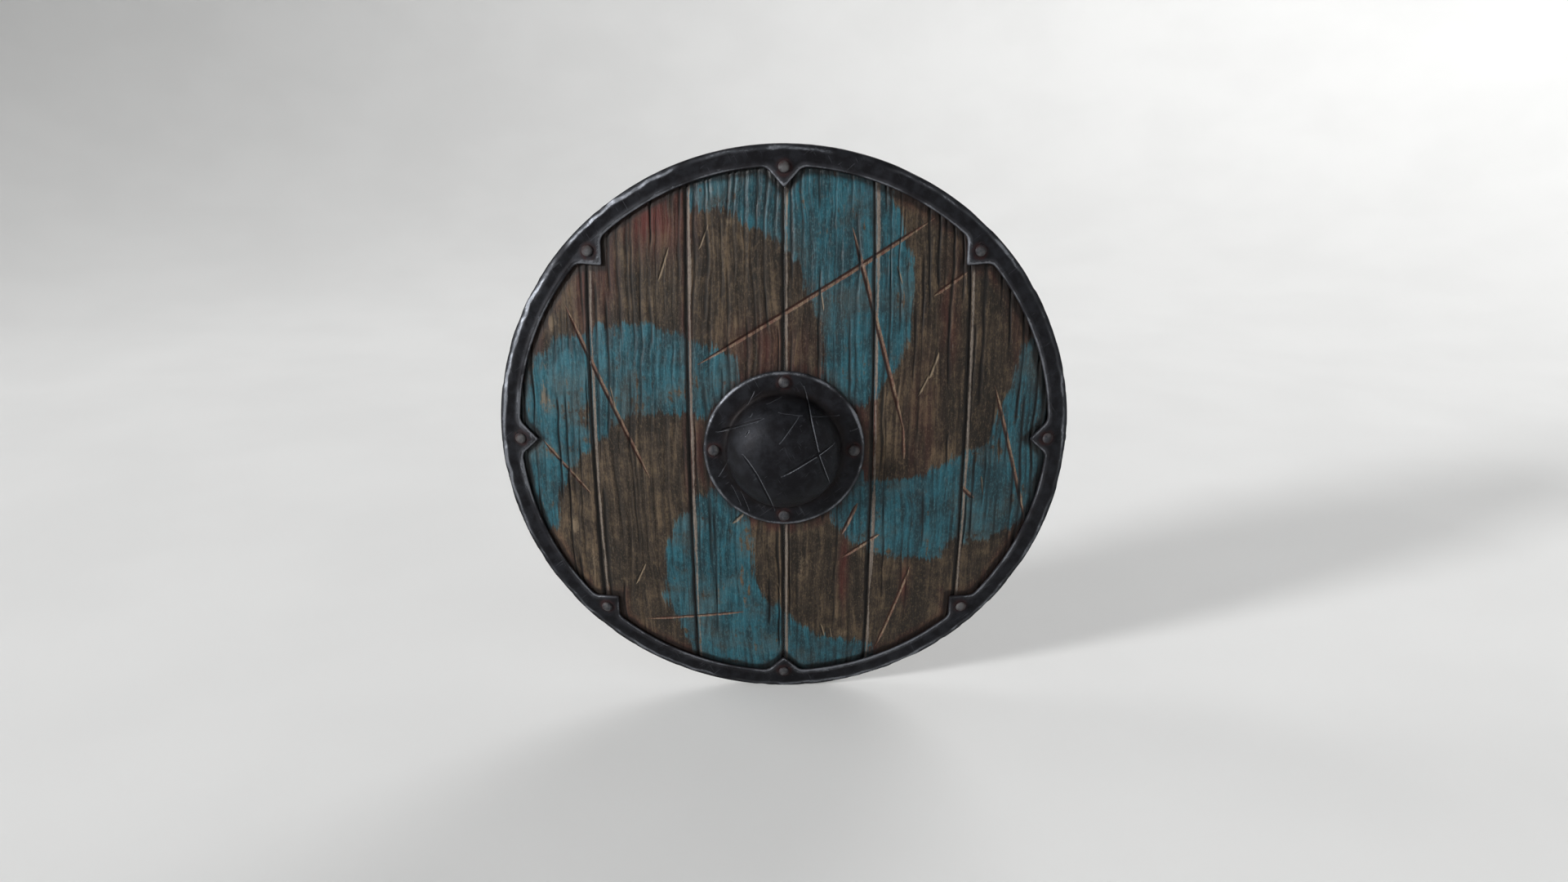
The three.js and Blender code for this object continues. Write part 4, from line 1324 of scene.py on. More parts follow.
    def shaded(self, across, up):
        """Painted shade under the rim and round the boss, deepest at the upper left, towards the lamp, and a
        painted shadow that the rim casts from there
        """
        radius, angle = np.hypot(across, up), np.arctan2(up, across)
        inset = rim_inset(radius, angle)
        lean = 0.62 + 0.38 * np.cos(angle - math.radians(132))
        # Painted cast shadow: a place is dark where a step of the throw towards the lamp would bring it under
        # the rim
        lamp_side, throw = math.radians(140), 6.5
        moved = across + throw * math.cos(lamp_side), up + throw * math.sin(lamp_side)
        painted_cast_shadow = rim_inset(np.hypot(*moved), np.arctan2(moved[1], moved[0]))
        uneven = 1.6 * waves(across / 13, up / 13, 35)
        # Painted shade: a band inside the rim, wider and darker towards the lamp, a close band all round, the
        # painted cast shadow, and a halo round the boss's flange
        return np.max([smooth(inset, -6.0 - 8.0 * lean, 2.0) * lean * 0.8,
                       smooth(inset, -9.0 + uneven, -4.5 + uneven),
                       0.85 * smooth(painted_cast_shadow, -1.6, 0.8),
                       0.9 * unit(1 - (radius - FLANGE_RADIUS) / 11.0) ** 1.6], axis=0)

    def mark_up(self, piece, paint_map):
        """Writes what the material reads at each vertex"""
        across, forward, up = points_of(piece).T
        radius = np.hypot(across, up)
        lift = np.hypot(radius, GRIP_DEPTH - forward - FACE_CENTRE) - FACE_RADIUS
        face = lift > -BOARD_THICKNESS / 2
        grain = self.grain_of(across, up)
        cracks, lips = self.crack_depth(grain, up)
        seam, seam_behind, rubbed = self.seam_marks(across, up)
        worn = 0.88 + 0.24 * waves(across / 9, up / 46, self.seed + 31)
        cut_side, cut_half, _ = cut_marks(across, up, GOUGES)
        chip_side, chip_half, _ = cut_marks(across, up, CHIPS)
        inset = rim_inset(radius, np.arctan2(up, across))
        stain = np.max([blobs(across, up, STAINS), 0.55 * unit(1 + inset / 16.0),
                        0.75 * unit(1 - (radius - FLANGE_RADIUS) / 14.0)], axis=0)
        mark(piece, face=face.astype(float), tone=BOARD_TONES[self.number], pale=blobs(across, up, PATCHES),
             grain=np.stack([grain, np.full(grain.shape, self.seed * 7.0), up], axis=1) * MM,
             paint=np.clip(paint_map.at(across, up), -40, 40),
             groove=np.where(face, np.maximum(cracks, seam), seam_behind),
             cut_side=cut_side, cut_half=cut_half, chip_side=chip_side, chip_half=chip_half,
             # The rub mark holds the seams' wear and painted highlight, and a painted highlight on the crack
             # lips
             rub=unit(rubbed * worn + lips * 0.5), stain=unit(stain),
             shade=unit(self.shaded(across, up)))


def handle_size(across):
    """Half-width and thickness of the handle batten's pads and arms"""
    share = unit((np.abs(across) - PAD_REACH) / (HANDLE_REACH - PAD_REACH))
    return 17 - 7 * share, 11 - 6 * share


def cross_size(across):
    """Half-width and thickness of a cross batten"""
    share = unit(np.abs(across) / CROSS_REACH)
    return 14 - 4 * share, 8 - 3 * share


def nail_places():
    """(name, across, up, thickness under its head) of each nail, mid-board or near the batten's end"""
    outer = (1, BOARD_COUNT)
    places = []
    for batten, up, reach, size, numbers in (("handle", 0.0, HANDLE_REACH, handle_size, (1, 2, 5, 6)),
                                             ("upper", CROSS_PLACE, CROSS_REACH, cross_size, range(1, 7)),
                                             ("lower", -CROSS_PLACE, CROSS_REACH, cross_size, range(1, 7))):
        for number in numbers:
            low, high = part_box(f"board_{number}")
            across = (low[0] / MM + high[0] / MM) / 2
            if number in outer:
                across = math.copysign(reach - NAIL_INSET, across)
            places.append((f"nail_{batten}_{number}", across, up, float(size(abs(across) - 4)[1])))
    return places


def nail_spots(*battens):
    return [(x, z) for name, x, z, _ in nail_places() if name.split("_")[1] in battens]


class SHIELD_OT_boards(bpy.types.Operator):
    """Lay the six weathered boards on the dome, with their cracks, cuts and painted swirl"""

    bl_idname = "shield.boards"
    bl_label = "Painted Boards"

    def execute(self, context):
        finish = BoardFinish(context.scene.shield_colours)
        paint_map = PaintMap()
        behind, before = -200, 80
        disc = turned([(0, behind), (BOARD_EDGE_RADIUS, behind), (BOARD_EDGE_RADIUS, -LAND_DEPTH),
                       (LAND_RADIUS, -LAND_DEPTH), (LAND_RADIUS, before), (0, before)], 288)
        disc.data.transform(Matrix.Translation((0, GRIP_DEPTH * MM, 0)))
        holes = rods(rivet_spots(), RIVET_HOLE, BEHIND, CLEAR_IN_FRONT)
        nails = rods(nail_spots("handle", "upper", "lower"), NAIL_HOLE, BEHIND, NAIL_POINT + SEAT_GAP, 12)
        deselect()
        bpy.ops.mesh.primitive_cylinder_add(vertices=96, radius=HAND_HOLE_RADIUS * MM, depth=0.4,
                                            rotation=(math.pi / 2, 0, 0))
        hand_hole = context.object
        bpy.ops.object.transform_apply(location=True, rotation=True, scale=True)
        boolean(holes, nails, "UNION")
        boolean(holes, hand_hole, "UNION")
        for number in range(1, BOARD_COUNT + 1):
            board = Board(number, context.scene.shield_sizes)
            piece = board.build(disc, holes)
            board.mark_up(piece, paint_map)
            finish_piece(piece, f"painted_{board.node}", board.node, finish.material, 50)
        drop(disc, holes, nails, hand_hole)
        return {"FINISHED"}


# Rim


LIP_STEPS = (0.0, 0.3, 0.8, 1.5, 2.3, 3.1, 3.9, 4.6, 5.3, 6.2, 7.4)
TOP_STEPS = 14
LUG_STEPS = 90
ARC_STEPS = 90
LUG_REACH_ANGLE = math.radians(5.2)


def rim_angles():
    """Angles of the rim's sections, close together across each lug"""
    lug_part = np.linspace(-LUG_REACH_ANGLE, LUG_REACH_ANGLE, LUG_STEPS, endpoint=False)
    arc_part = np.linspace(LUG_REACH_ANGLE, LUG_PITCH - LUG_REACH_ANGLE, ARC_STEPS, endpoint=False)
    one_lug = np.concatenate([lug_part, arc_part])
    return np.concatenate([LUG_PITCH * lug + one_lug for lug in range(LUG_COUNT)])


def radius_at_inset(inset, angles, halvings=40):
    """The radius at which the rim's outline is so far inside, found by halving"""
    low, high = np.full(angles.shape, LUG_TIP - 8), np.full(angles.shape, RIM_CREST)
    for _ in range(halvings):
        middle = (low + high) / 2
        inside = rim_inset(middle, angles) > inset
        high, low = np.where(inside, middle, high), np.where(inside, low, middle)
    return (low + high) / 2


def rim_top(radius):
    """Depth of the rim's front: on the dome up to the shoulder, and nearly flat beyond it"""
    top = SEAT_GAP + RIM_THICKNESS
    past = unit((radius - RIM_SHOULDER) / (RIM_CREST - RIM_SHOULDER))
    flat = depth_at(RIM_SHOULDER, top) - RIM_CREST_DROP * past
    return np.where(radius < RIM_SHOULDER, depth_at(np.minimum(radius, RIM_SHOULDER), top), flat)


def rim_sections(angles):
    """Radius, depth, and shares of dents and chips, of each station of the rim at each angle"""
    rows = []

    def add(radius, depth, dents=0.0, chips=0.0):
        values = (radius, depth, dents, chips)
        rows.append([np.broadcast_to(value, angles.shape).astype(float) for value in values])

    foot = radius_at_inset(0.0, angles)
    add(foot, depth_at(foot, SEAT_GAP))
    for inset in LIP_STEPS:
        radius = radius_at_inset(inset, angles)
        share = min(inset / RIM_LIP, 1.0)
        fall = (RIM_THICKNESS - RIM_LIP_HEIGHT) * (1 - math.sin(share * math.pi / 2) ** 0.9)
        add(radius, rim_top(radius) - fall, 0.35 + 0.65 * share)
    start = radius_at_inset(LIP_STEPS[-1], angles)
    for step in range(1, TOP_STEPS + 1):
        share = step / TOP_STEPS
        radius = start + (RIM_CREST - start) * share
        add(radius, rim_top(radius), 1.0, share**4)
    for share in (0.16, 0.34, 0.52, 0.7, 0.85, 1.0):
        depth = rim_top(RIM_CREST) - RIM_BEVEL_DROP * share**1.15
        add(RIM_CREST + (RIM_EDGE - RIM_CREST) * share, depth, 0.7, 1.0)
    edge = rim_top(RIM_CREST) - RIM_BEVEL_DROP
    for share in (0.33, 0.66, 1.0):
        turn = share * math.pi / 2
        depth = edge - RIM_EDGE_ROUND * (1 - math.cos(turn))
        add(RIM_EDGE + RIM_EDGE_ROUND * math.sin(turn), depth, 0.3, 0.9)
    for share in (0.12, 0.26, 0.42, 0.6, 0.8, 1.0):
        depth = edge - RIM_EDGE_ROUND + (REAR_DEPTH + 0.7 - edge + RIM_EDGE_ROUND) * share
        add(SHIELD_RADIUS, depth, 0.0, 0.8 * (1 - share) + 0.3)
    add(SHIELD_RADIUS - 0.25, REAR_DEPTH + 0.2, 0.0, 0.2)
    rear_edge = SHIELD_RADIUS - 0.8
    for share in (0.0, 0.25, 0.5, 0.75, 0.96):
        add(rear_edge - (rear_edge - REAR_LEG_RADIUS) * share, REAR_DEPTH)
    add(REAR_LEG_RADIUS, REAR_DEPTH + 0.5)
    for radius in (REAR_LEG_RADIUS, REAR_SEAT_BEND, INNER_WALL_RADIUS):
        add(radius, REAR_SEAT)
    for share in (0.0, 0.25, 0.5, 0.75):
        radius = INNER_WALL_RADIUS + (foot - INNER_WALL_RADIUS) * share
        add(radius, depth_at(radius, SEAT_GAP))
    return np.array(rows)


class SHIELD_OT_rim(bpy.types.Operator):
    """Spin the iron rim, pull out its eight lugs and hammer, chip and wear it"""

    bl_idname = "shield.rim"
    bl_label = "Lugged Rim"

    def execute(self, context):
        sizes, colours = context.scene.shield_sizes, context.scene.shield_colours
        angles = rim_angles()
        table = rim_sections(angles)
        between_lugs = LUG_STEPS + ARC_STEPS // 2
        profile = [(radius, -depth) for radius, depth in table[:, :2, between_lugs]]
        piece = turned(profile + [profile[0]], len(angles), stations=True, parts=LUG_COUNT)
        station = stations_of(piece) % len(table)
        across, _, up = points_of(piece).T
        turn = np.arctan2(up, across) % (2 * math.pi)
        step = np.rint(turn / (2 * math.pi / len(angles))).astype(int) % len(angles)
        radius, depth, dents, chips = (table[station, value, step] for value in range(4))
        self.hammer(piece, sizes, radius, depth, angles[step], dents, chips)
        drill(piece, rivet_spots("rim"), RIVET_HOLE, CLEAR_BEHIND, CLEAR_IN_FRONT)
        self.mark_up(piece)
        finish_piece(piece, "forged_rim", "iron_rim", iron_material(colours), 35)
        return {"FINISHED"}

    def hammer(self, piece, sizes, radius, depth, angle, dents, chips):
        """Sets the vertices, with hammer marks on the front and nicks along the outer edge"""
        across, up = radius * np.cos(angle), radius * np.sin(angle)
        clear = smooth(rivet_distance(across, up), 6.5, 11.0)
        hammered = 0.5 + 0.34 * waves(across / 13, up / 13, 51) + 0.2 * waves(across / 5.5, up / 5.5, 52)
        bitten = np.clip(0.8 * waves(across / 24, up / 24, 53) + 0.55 * waves(across / 9, up / 9, 54)
                         + 0.18 * waves(across / 3.2, up / 3.2, 55) + 0.05, 0, 1)
        bite = chips * bitten * sizes.rim_chips / MM
        depth = depth - dents * clear * sizes.rim_dents / MM * np.clip(hammered, 0, 1.1)
        depth = depth - bite * (chips > 0.01) * (depth > -4)
        outer = unit((radius - RIM_CREST) / (SHIELD_RADIUS - RIM_CREST))
        radius = radius - outer * bite * 0.55
        place_points(piece, in_frame(radius * np.cos(angle), depth, radius * np.sin(angle)))

    def mark_up(self, piece):
        """Wear on the lip and the outer bevel, with painted glints added at the upper left, towards the lamp,
        and rust at the rivets and behind
        """
        across, forward, up = points_of(piece).T
        radius, angle = np.hypot(across, up), np.arctan2(up, across)
        inset = rim_inset(radius, angle)
        front = smooth(GRIP_DEPTH - forward, -4.0, -1.0)
        lip = 0.62 * hump(inset - 1.4, 0.9) + 0.30 * hump(inset - 3.6, 2.4)
        crest = hump(radius - RIM_CREST - 2.6 - 1.8 * waves(across / 14, up / 14, 60), 2.0)
        bevel = 0.56 * crest + 0.14 * smooth(radius, RIM_CREST, RIM_CREST + 2.0)
        patchy = 0.76 + 0.5 * waves(across / 34, up / 34, 61) + 0.3 * waves(across / 11, up / 11, 62)
        # Painted glints: the bevel's pale wear made stronger at the upper left, where the lamp's highlights
        # fall
        painted_glint = 0.72 + 0.5 * unit(np.cos(angle - math.radians(146))) ** 3
        wear = np.maximum(lip * (radius < RIM_CREST), bevel * painted_glint) * patchy * front + 0.12 * (1 - front)
        rust = (0.95 * hump(rivet_distance(across, up) - 7.0, 2.6) + 0.12 * (1 - smooth(inset, 0, 9))
                + 0.4 * (1 - front))
        mark(piece, wear=unit(wear + 0.06), rust=unit(rust), scratch_half=NO_CUT,
             flow=np.stack([np.cos(angle) * 110, radius, np.sin(angle) * 110], axis=1) * MM)


# Boss


def boss_profile():
    """(radius, depth, dents) from the flange's foot over the dome to the hollow and back"""
    top = SEAT_GAP + FLANGE_THICKNESS
    foot = float(depth_at(DOME_RADIUS, top))
    profile = []
    for radius in np.linspace(DOME_RADIUS - BOSS_SHEET, FLANGE_RADIUS - 0.5, 8):
        profile.append((radius, float(depth_at(radius, SEAT_GAP)), 0.0))
    profile.append((FLANGE_RADIUS, float(depth_at(FLANGE_RADIUS, SEAT_GAP + 0.35)), 0.2))
    for share in (0.0, 0.25, 0.5, 0.75, 1.0):
        radius = FLANGE_RADIUS - FLANGE_BEVEL_WIDTH * share**1.2
        lift = top - FLANGE_BEVEL_DEPTH * (1 - math.sin(share * math.pi / 2))
        profile.append((radius, float(depth_at(radius, lift)), 0.5))
    fillet = DOME_RADIUS + FILLET_RADIUS
    for radius in np.linspace(FLANGE_RADIUS - FLANGE_BEVEL_WIDTH - 1, fillet, 15):
        profile.append((radius, float(depth_at(radius, top)), 1.0))
    start, end = (fillet, float(depth_at(fillet, top))), (DOME_RADIUS, foot + FILLET_RADIUS)
    for share in np.linspace(0, 1, 9)[1:-1]:
        radius = start[0] * (1 - share) ** 2 + DOME_RADIUS * (1 - (1 - share) ** 2)
        depth = start[1] * (1 - share) ** 2 + foot * 2 * share * (1 - share) + end[1] * share**2
        profile.append((radius, depth, 0.6))
    outer = dome_quarter(DOME_RADIUS, DOME_HEIGHT, FILLET_RADIUS, 72)
    inner = dome_quarter(DOME_RADIUS - BOSS_SHEET, DOME_HEIGHT - BOSS_SHEET, 1.0, 22)
    profile += [(radius, foot + height, 1.0) for radius, height in outer]
    profile += [(radius, foot + height, 0.0) for radius, height in reversed(inner)]
    return profile


def dome_quarter(radius, height, start, count):
    """The dome's section from a start height to its crown"""
    first = math.asin(min((start / height) ** (DOME_ROUNDNESS / 2), 1.0))
    quarter = []
    for share in np.linspace(0, 1, count):
        turn = first + (math.pi / 2 - first) * share
        reach = radius * math.cos(turn) ** (2 / DOME_ROUNDNESS) if share < 1 else 0.0
        quarter.append((reach, height * math.sin(turn) ** (2 / DOME_ROUNDNESS)))
    return quarter


def boss_marks(across, forward, up):
    """The boss's scratches, measured where the line of sight through each place meets the flat sheet"""
    cuts = []
    for points, half, deep in BOSS_SCRATCHES:
        parts = len(points) - 1
        cuts += [(points[step], points[step + 1], half, deep, step / parts, (step + 1) / parts)
                 for step in range(parts)]
    share = (SIGHT_SHEET - SIGHT[1]) / (forward - SIGHT[1])
    return cut_marks(across * share, SIGHT[2] + (up - SIGHT[2]) * share, cuts)


class SHIELD_OT_boss(bpy.types.Operator):
    """Spin the hollow boss, then dent, scratch and wear it"""

    bl_idname = "shield.boss"
    bl_label = "Iron Boss"

    def execute(self, context):
        profile = boss_profile()
        ring = [(radius, -depth) for radius, depth, _ in profile]
        piece = turned(ring + [ring[0]], 480, stations=True, parts=4)
        dents = np.array([value for *_, value in profile])[stations_of(piece) % len(profile)]
        self.dent(piece, dents, context.scene.shield_sizes.boss_dents / MM)
        drill(piece, rivet_spots("boss"), RIVET_HOLE, CLEAR_BEHIND, CLEAR_IN_FRONT)
        self.mark_up(piece)
        material = iron_material(context.scene.shield_colours)
        finish_piece(piece, "forged_boss", "shield_boss", material, 35)
        return {"FINISHED"}

    def dent(self, piece, dents, deepest):
        """Hammer marks and scratches in the front, and a flange that isn't quite round"""
        across, height, up = points_of(piece).T
        radius, depth = np.hypot(across, up), -height
        clear = smooth(rivet_distance(across, up), 6.8, 11.0)
        hammered = 0.5 + 0.4 * waves(across / 15, up / 15, 71) + 0.2 * waves(across / 6, up / 6, 72)
        groove = boss_marks(across, GRIP_DEPTH - depth, up)[2]
        sunk = dents * clear * deepest * np.clip(hammered, 0, 1.1) + groove * unit(dents * 2)
        heart = float(depth_at(DOME_RADIUS, 0)) + 4
        out = np.stack([across, heart - depth, up], axis=1)
        out = out / np.maximum(np.linalg.norm(out, axis=1), 1e-6)[:, None]
        lean = smooth(DOME_RADIUS + 3 - radius, 0, 3)[:, None]
        out = out * lean + np.array([0.0, -1.0, 0.0]) * (1 - lean)
        places = np.stack([across, GRIP_DEPTH - depth, up], axis=1) - out * sunk[:, None]
        uneven = hump(radius - FLANGE_RADIUS, 1.6) * 0.45 * (1 + waves(across / 8, up / 8, 73))
        places[:, [0, 2]] *= (1 - uneven * (dents > 0) / np.maximum(radius, 1))[:, None]
        place_points(piece, places * MM)

    def mark_up(self, piece):
        """Wear on the flange's edge, rust at the rivets and in the hollow, painted shade round the dome's
        foot, and scratches in front alone
        """
        places = points_of(piece)
        across, forward, up = places.T
        radius, angle = np.hypot(across, up), np.arctan2(up, across)
        side, half, _ = boss_marks(across, forward, up)
        normals = np.empty(places.size)
        piece.data.vertices.foreach_get("normal", normals)
        facing_grip = (places * normals.reshape(-1, 3)).sum(axis=1) < 0
        patchy = 0.8 + 0.4 * waves(across / 20, up / 20, 81) + 0.3 * waves(across / 7, up / 7, 82)
        wear = (0.62 * hump(radius - FLANGE_RADIUS + 2.2, 1.8) + 0.10 * hump(radius - 56, 5)) * patchy + 0.06
        in_hollow = (forward > GRIP_DEPTH - float(depth_at(DOME_RADIUS, 0)) - 1.5) & (radius < DOME_RADIUS)
        rust = (0.9 * hump(rivet_distance(across, up) - 7.0, 2.4) + 0.16 * hump(radius - 66, 5)
                + 0.6 * in_hollow)
        # shade: painted shade in the fillet round the dome's foot, which the lamp lights at the upper left
        mark(piece, wear=unit(wear), rust=unit(rust),
             shade=0.75 * hump(radius - DOME_RADIUS - 2.5, 4.0) * ~in_hollow,
             scratch_side=side, scratch_half=np.where(facing_grip, NO_CUT, half),
             flow=np.stack([np.cos(angle) * 60, radius, np.sin(angle) * 60], axis=1) * MM)


# Rivets, roves and nails


def dented(piece, amount, size, seed):
    """Moves each vertex a little, by smooth noise over its place"""
    places = points_of(piece)
    across, forward, up = places.T
    shift = [waves(across / size + forward / size, up / size, seed + axis) for axis in range(3)]
    place_points(piece, (places + np.stack(shift, axis=1) * amount) * MM)


class SHIELD_OT_rivets(bpy.types.Operator):
    """Set the domed rivets of the rim and the boss, each with its square rove behind"""

    bl_idname = "shield.rivets"
    bl_label = "Rivets and Roves"

    def rivet(self, sizes, seat, rove_back):
        """A domed head on its seat, a shank, and a foot hammered flat over the rove"""
        radius, height = sizes.rivet_radius / MM, sizes.rivet_height / MM
        peen, shank = rove_back - SEAT_GAP, 2.8
        profile = [(0, peen - 1.2), (1.8, peen - 1.15), (3.1, peen - 0.85), (4.0, peen - 0.3), (4.3, peen),
                   (shank, peen), (shank, (peen + seat) / 2), (shank, seat),
                   (radius - 0.3, seat), (radius, seat + 0.25)]
        for share in np.linspace(0, 1, 9):
            turn = share * math.pi / 2
            reach = (radius - 0.05) * math.cos(turn) if share < 1 else 0.0
            profile.append((reach, seat + 0.8 + (height - 0.8) * math.sin(turn) ** 0.9))
        return turned(profile, 32)

    def rove(self, sizes, front):
        """A square plate with eased edges and a hole for the rivet"""
        side = sizes.rove_side / MM
        deselect()
        bpy.ops.mesh.primitive_cube_add(size=1.0)
        piece = bpy.context.object
        piece.data.transform(Matrix.Diagonal((side * MM, ROVE_THICKNESS * MM, side * MM, 1.0)))
        with editing(piece):
            bpy.ops.mesh.subdivide(number_cuts=5)
        modify(piece, "BEVEL", width=0.35 * MM, segments=2, limit_method="ANGLE")
        piece.data.transform(Matrix.Translation((0, (front - ROVE_THICKNESS / 2) * MM, 0)))
        hole = turned([(0, front - 9), (3.0, front - 9), (3.0, front + 9), (0, front + 9)], 16)
        boolean(piece, hole, "DIFFERENCE")
        drop(hole)
        return piece

    def execute(self, context):
        sizes, colours = context.scene.shield_sizes, context.scene.shield_colours
        for number, (pattern, x, z) in enumerate(rivet_places()):
            on_rim = pattern.startswith("rim")
            seat = SEAT_GAP + (RIM_THICKNESS if on_rim else FLANGE_THICKNESS) + 0.12
            half_width, thickness = handle_size(x)
            on_handle = not on_rim and abs(z) < half_width
            front = BACK_SEAT - (float(thickness) + SEAT_GAP if on_handle else 0.0)
            rove = self.rove(sizes, front)
            rivet = self.rivet(sizes, seat, front - ROVE_THICKNESS)
            rivet.data.transform(Matrix.Rotation(number * 1.3, 4, "Y"))
            for piece in (rove, rivet):
                piece.data.transform(face_frame(x, z))
            dented(rivet, 0.10, 3.4, 90 + number)
            dented(rove, 0.16, 6.0, 120 + number)
            heights = GRIP_DEPTH - points_of(rivet)[:, 1]
            crown = smooth(heights, heights.max() - 3.0, heights.max())
            mark(rivet, wear=0.04 + 0.26 * crown, rust=0.95 - 0.95 * crown, scratch_half=NO_CUT)
            mark(rove, wear=0.25, rust=0.75, scratch_half=NO_CUT)
            rivet_name, rove_name = pattern.format("rivet"), pattern.format("rove")
            finish_piece(rivet, "domed_" + rivet_name, rivet_name, rivet_material(colours), 38)
            finish_piece(rove, "square_" + rove_name, rove_name, nail_material(colours), 30)
        return {"FINISHED"}


class SHIELD_OT_nails(bpy.types.Operator):
    """Drive the forged nails through the battens from the back"""

    bl_idname = "shield.nails"
    bl_label = "Nails"

    def execute(self, context):
        colours = context.scene.shield_colours
        radius, shank = context.scene.shield_sizes.nail_radius / MM, 1.4
        for number, (name, x, z, thickness) in enumerate(nail_places()):
            head = BACK_SEAT - thickness - 0.17 - SEAT_GAP
            profile = [(0, head - 2.0), (radius * 0.35, head - 1.95), (radius * 0.7, head - 1.6),
                       (radius * 0.95, head - 1.1), (radius, head - 0.6), (radius * 0.94, head),
                       (shank, head), (shank, (head + NAIL_POINT) / 2), (shank, -9.5),
                       (0.9, -6.0), (0.4, NAIL_POINT), (0, NAIL_POINT)]
            nail = turned(profile, 14)
            nail.data.transform(face_frame(x, z))
            dented(nail, 0.22, 2.6, 150 + number)
            mark(nail, wear=0.3, rust=0.8, scratch_half=NO_CUT)
            finish_piece(nail, "forged_" + name, name, nail_material(colours), 40)
        return {"FINISHED"}


# Battens and grip


# How far from its end a bar's section starts to draw in
END_ROUND = 1.2


def bar_section(half_width, front, back, chamfer):
    """Eight corners, as (side, lift) rows, of a bar's chamfered section at each place along it"""
    corners = [(-half_width + chamfer, front), (half_width - chamfer, front), (half_width, front - chamfer),
               (half_width, back + chamfer), (half_width - chamfer, back), (-half_width + chamfer, back),
               (-half_width, back + chamfer), (-half_width, front - chamfer)]
    return np.array([[np.broadcast_to(v, np.shape(half_width)) for v in corner] for corner in corners])


def round_section(corners, turn, soft):
    """Places at shares of a turn round the corners, with the corners softened"""
    count, total = len(corners), 0
    stations = np.arange(corners.shape[2])[None, :]
    for shift, weight in ((-soft, 0.25), (0.0, 0.5), (soft, 0.25)):
        where = (turn + shift) % 1.0 * count
        first = np.floor(where).astype(int) % count
        share = (where - np.floor(where))[:, None, None]
        here = corners[first[:, None], :, stations]
        there = corners[(first[:, None] + 1) % count, :, stations]
        total = total + weight * (here * (1 - share) + there * share)
    return total


def bar_piece(stations, place, corners, ring=48, soft=0.045, capped=True, wobble=0.12, seed=0):
    """A bar along X, rolled from a sheet round its sections and closed at its ends if it is capped"""
    piece = sheet_piece(len(stations) - 1, ring)
    column, row = cells_of(piece, len(stations) - 1, ring)
    section = round_section(corners, np.arange(ring) / ring, soft)
    side, lift = section[row % ring, column].T
    across = stations[column]
    rough = wobble * (waves(across / 40, side / 2.4 + lift / 2.4, seed)
                      + 0.6 * waves(across / 9, side / 7 + lift / 9, seed + 1))
    middle = (corners[0, 1] + corners[4, 1])[column] / 2
    drawn_in = 1 - (rough + wobble) / np.maximum(np.hypot(side, lift - middle), 1)
    place_points(piece, on_dome(across, place + side * drawn_in, middle + (lift - middle) * drawn_in))
    close_up(piece, fill=capped)
    return piece


def bar_stations(reach, step):
    """Places along a bar, with two close steps that round its ends"""
    inner = np.linspace(-reach + END_ROUND, reach - END_ROUND, int(2 * reach / step))
    return np.concatenate([[-reach, -reach + 0.35], inner, [reach - 0.35, reach]])


def eased_ends(stations, reach, corners):
    """Draws the section in at the last steps of a bar, so that its end edges are rounded"""
    past = np.clip(END_ROUND - (reach - np.abs(stations)), 0, END_ROUND)
    short = 0.9 * (past / END_ROUND) ** 2
    middle = corners.mean(axis=0, keepdims=True)
    reach_out = np.maximum(np.linalg.norm(corners - middle, axis=1, keepdims=True), 1)
    return middle + (corners - middle) * (1 - short / reach_out)


def mark_wood(piece, seed, rub):
    """Lays the grain along a bar, and marks how far hands have rubbed it"""
    across, forward, up = points_of(piece).T
    mark(piece, grain=np.stack([up, forward * 0.6 + seed * 40, across], axis=1) * MM, rub=rub)


class SHIELD_OT_handle(bpy.types.Operator):
    """Shape the handle batten, from the grip in the hand hole to its thin ends"""

    bl_idname = "shield.handle"
    bl_label = "Handle Batten"

    def execute(self, context):
        stations = bar_stations(HANDLE_REACH, 2.4)
        half, thickness = handle_size(stations)
        held = 1 - smooth(np.abs(stations), GRIP_HALF_LENGTH, GRIP_HALF_LENGTH + 9)
        arms = bar_section(half, BACK_SEAT, BACK_SEAT - thickness, BATTEN_CHAMFER)
        grip = bar_section(np.full(half.shape, GRIP_HALF_WIDTH), GRIP_FRONT, GRIP_BACK, 6.5)
        corners = eased_ends(stations, HANDLE_REACH, arms * (1 - held) + grip * held)
        piece = bar_piece(stations, 0.0, corners, seed=201)
        drill(piece, rivet_spots(), RIVET_HOLE, BEHIND, CLEAR_IN_FRONT)
        drill(piece, nail_spots("handle"), NAIL_HOLE, BEHIND, 0.0, 12)
        across = points_of(piece)[:, 0]
        mark_wood(piece, 1, unit(0.2 + 0.7 * smooth(-np.abs(across), -120, -50)))
        material = wood_material(context.scene.shield_colours)
        finish_piece(piece, "ash_handle", "handle_batten", material)
        return {"FINISHED"}


class SHIELD_OT_battens(bpy.types.Operator):
    """Shape the two cross battens that hold the boards together"""

    bl_idname = "shield.battens"
    bl_label = "Cross Battens"

    def execute(self, context):
        material = wood_material(context.scene.shield_colours)
        stations = bar_stations(CROSS_REACH, 2.6)
        half, thickness = cross_size(stations)
        section = bar_section(half, BACK_SEAT, BACK_SEAT - thickness, BATTEN_CHAMFER)
        corners = eased_ends(stations, CROSS_REACH, section)
        for name, place, seed in (("upper", CROSS_PLACE, 2), ("lower", -CROSS_PLACE, 3)):
            piece = bar_piece(stations, place, corners, ring=40, seed=210 + seed)
            drill(piece, nail_spots("upper", "lower"), NAIL_HOLE, BEHIND, 0.0, 12)
            mark_wood(piece, seed, 0.25)
            finish_piece(piece, f"{name}_batten", f"batten_{name}", material)
        return {"FINISHED"}


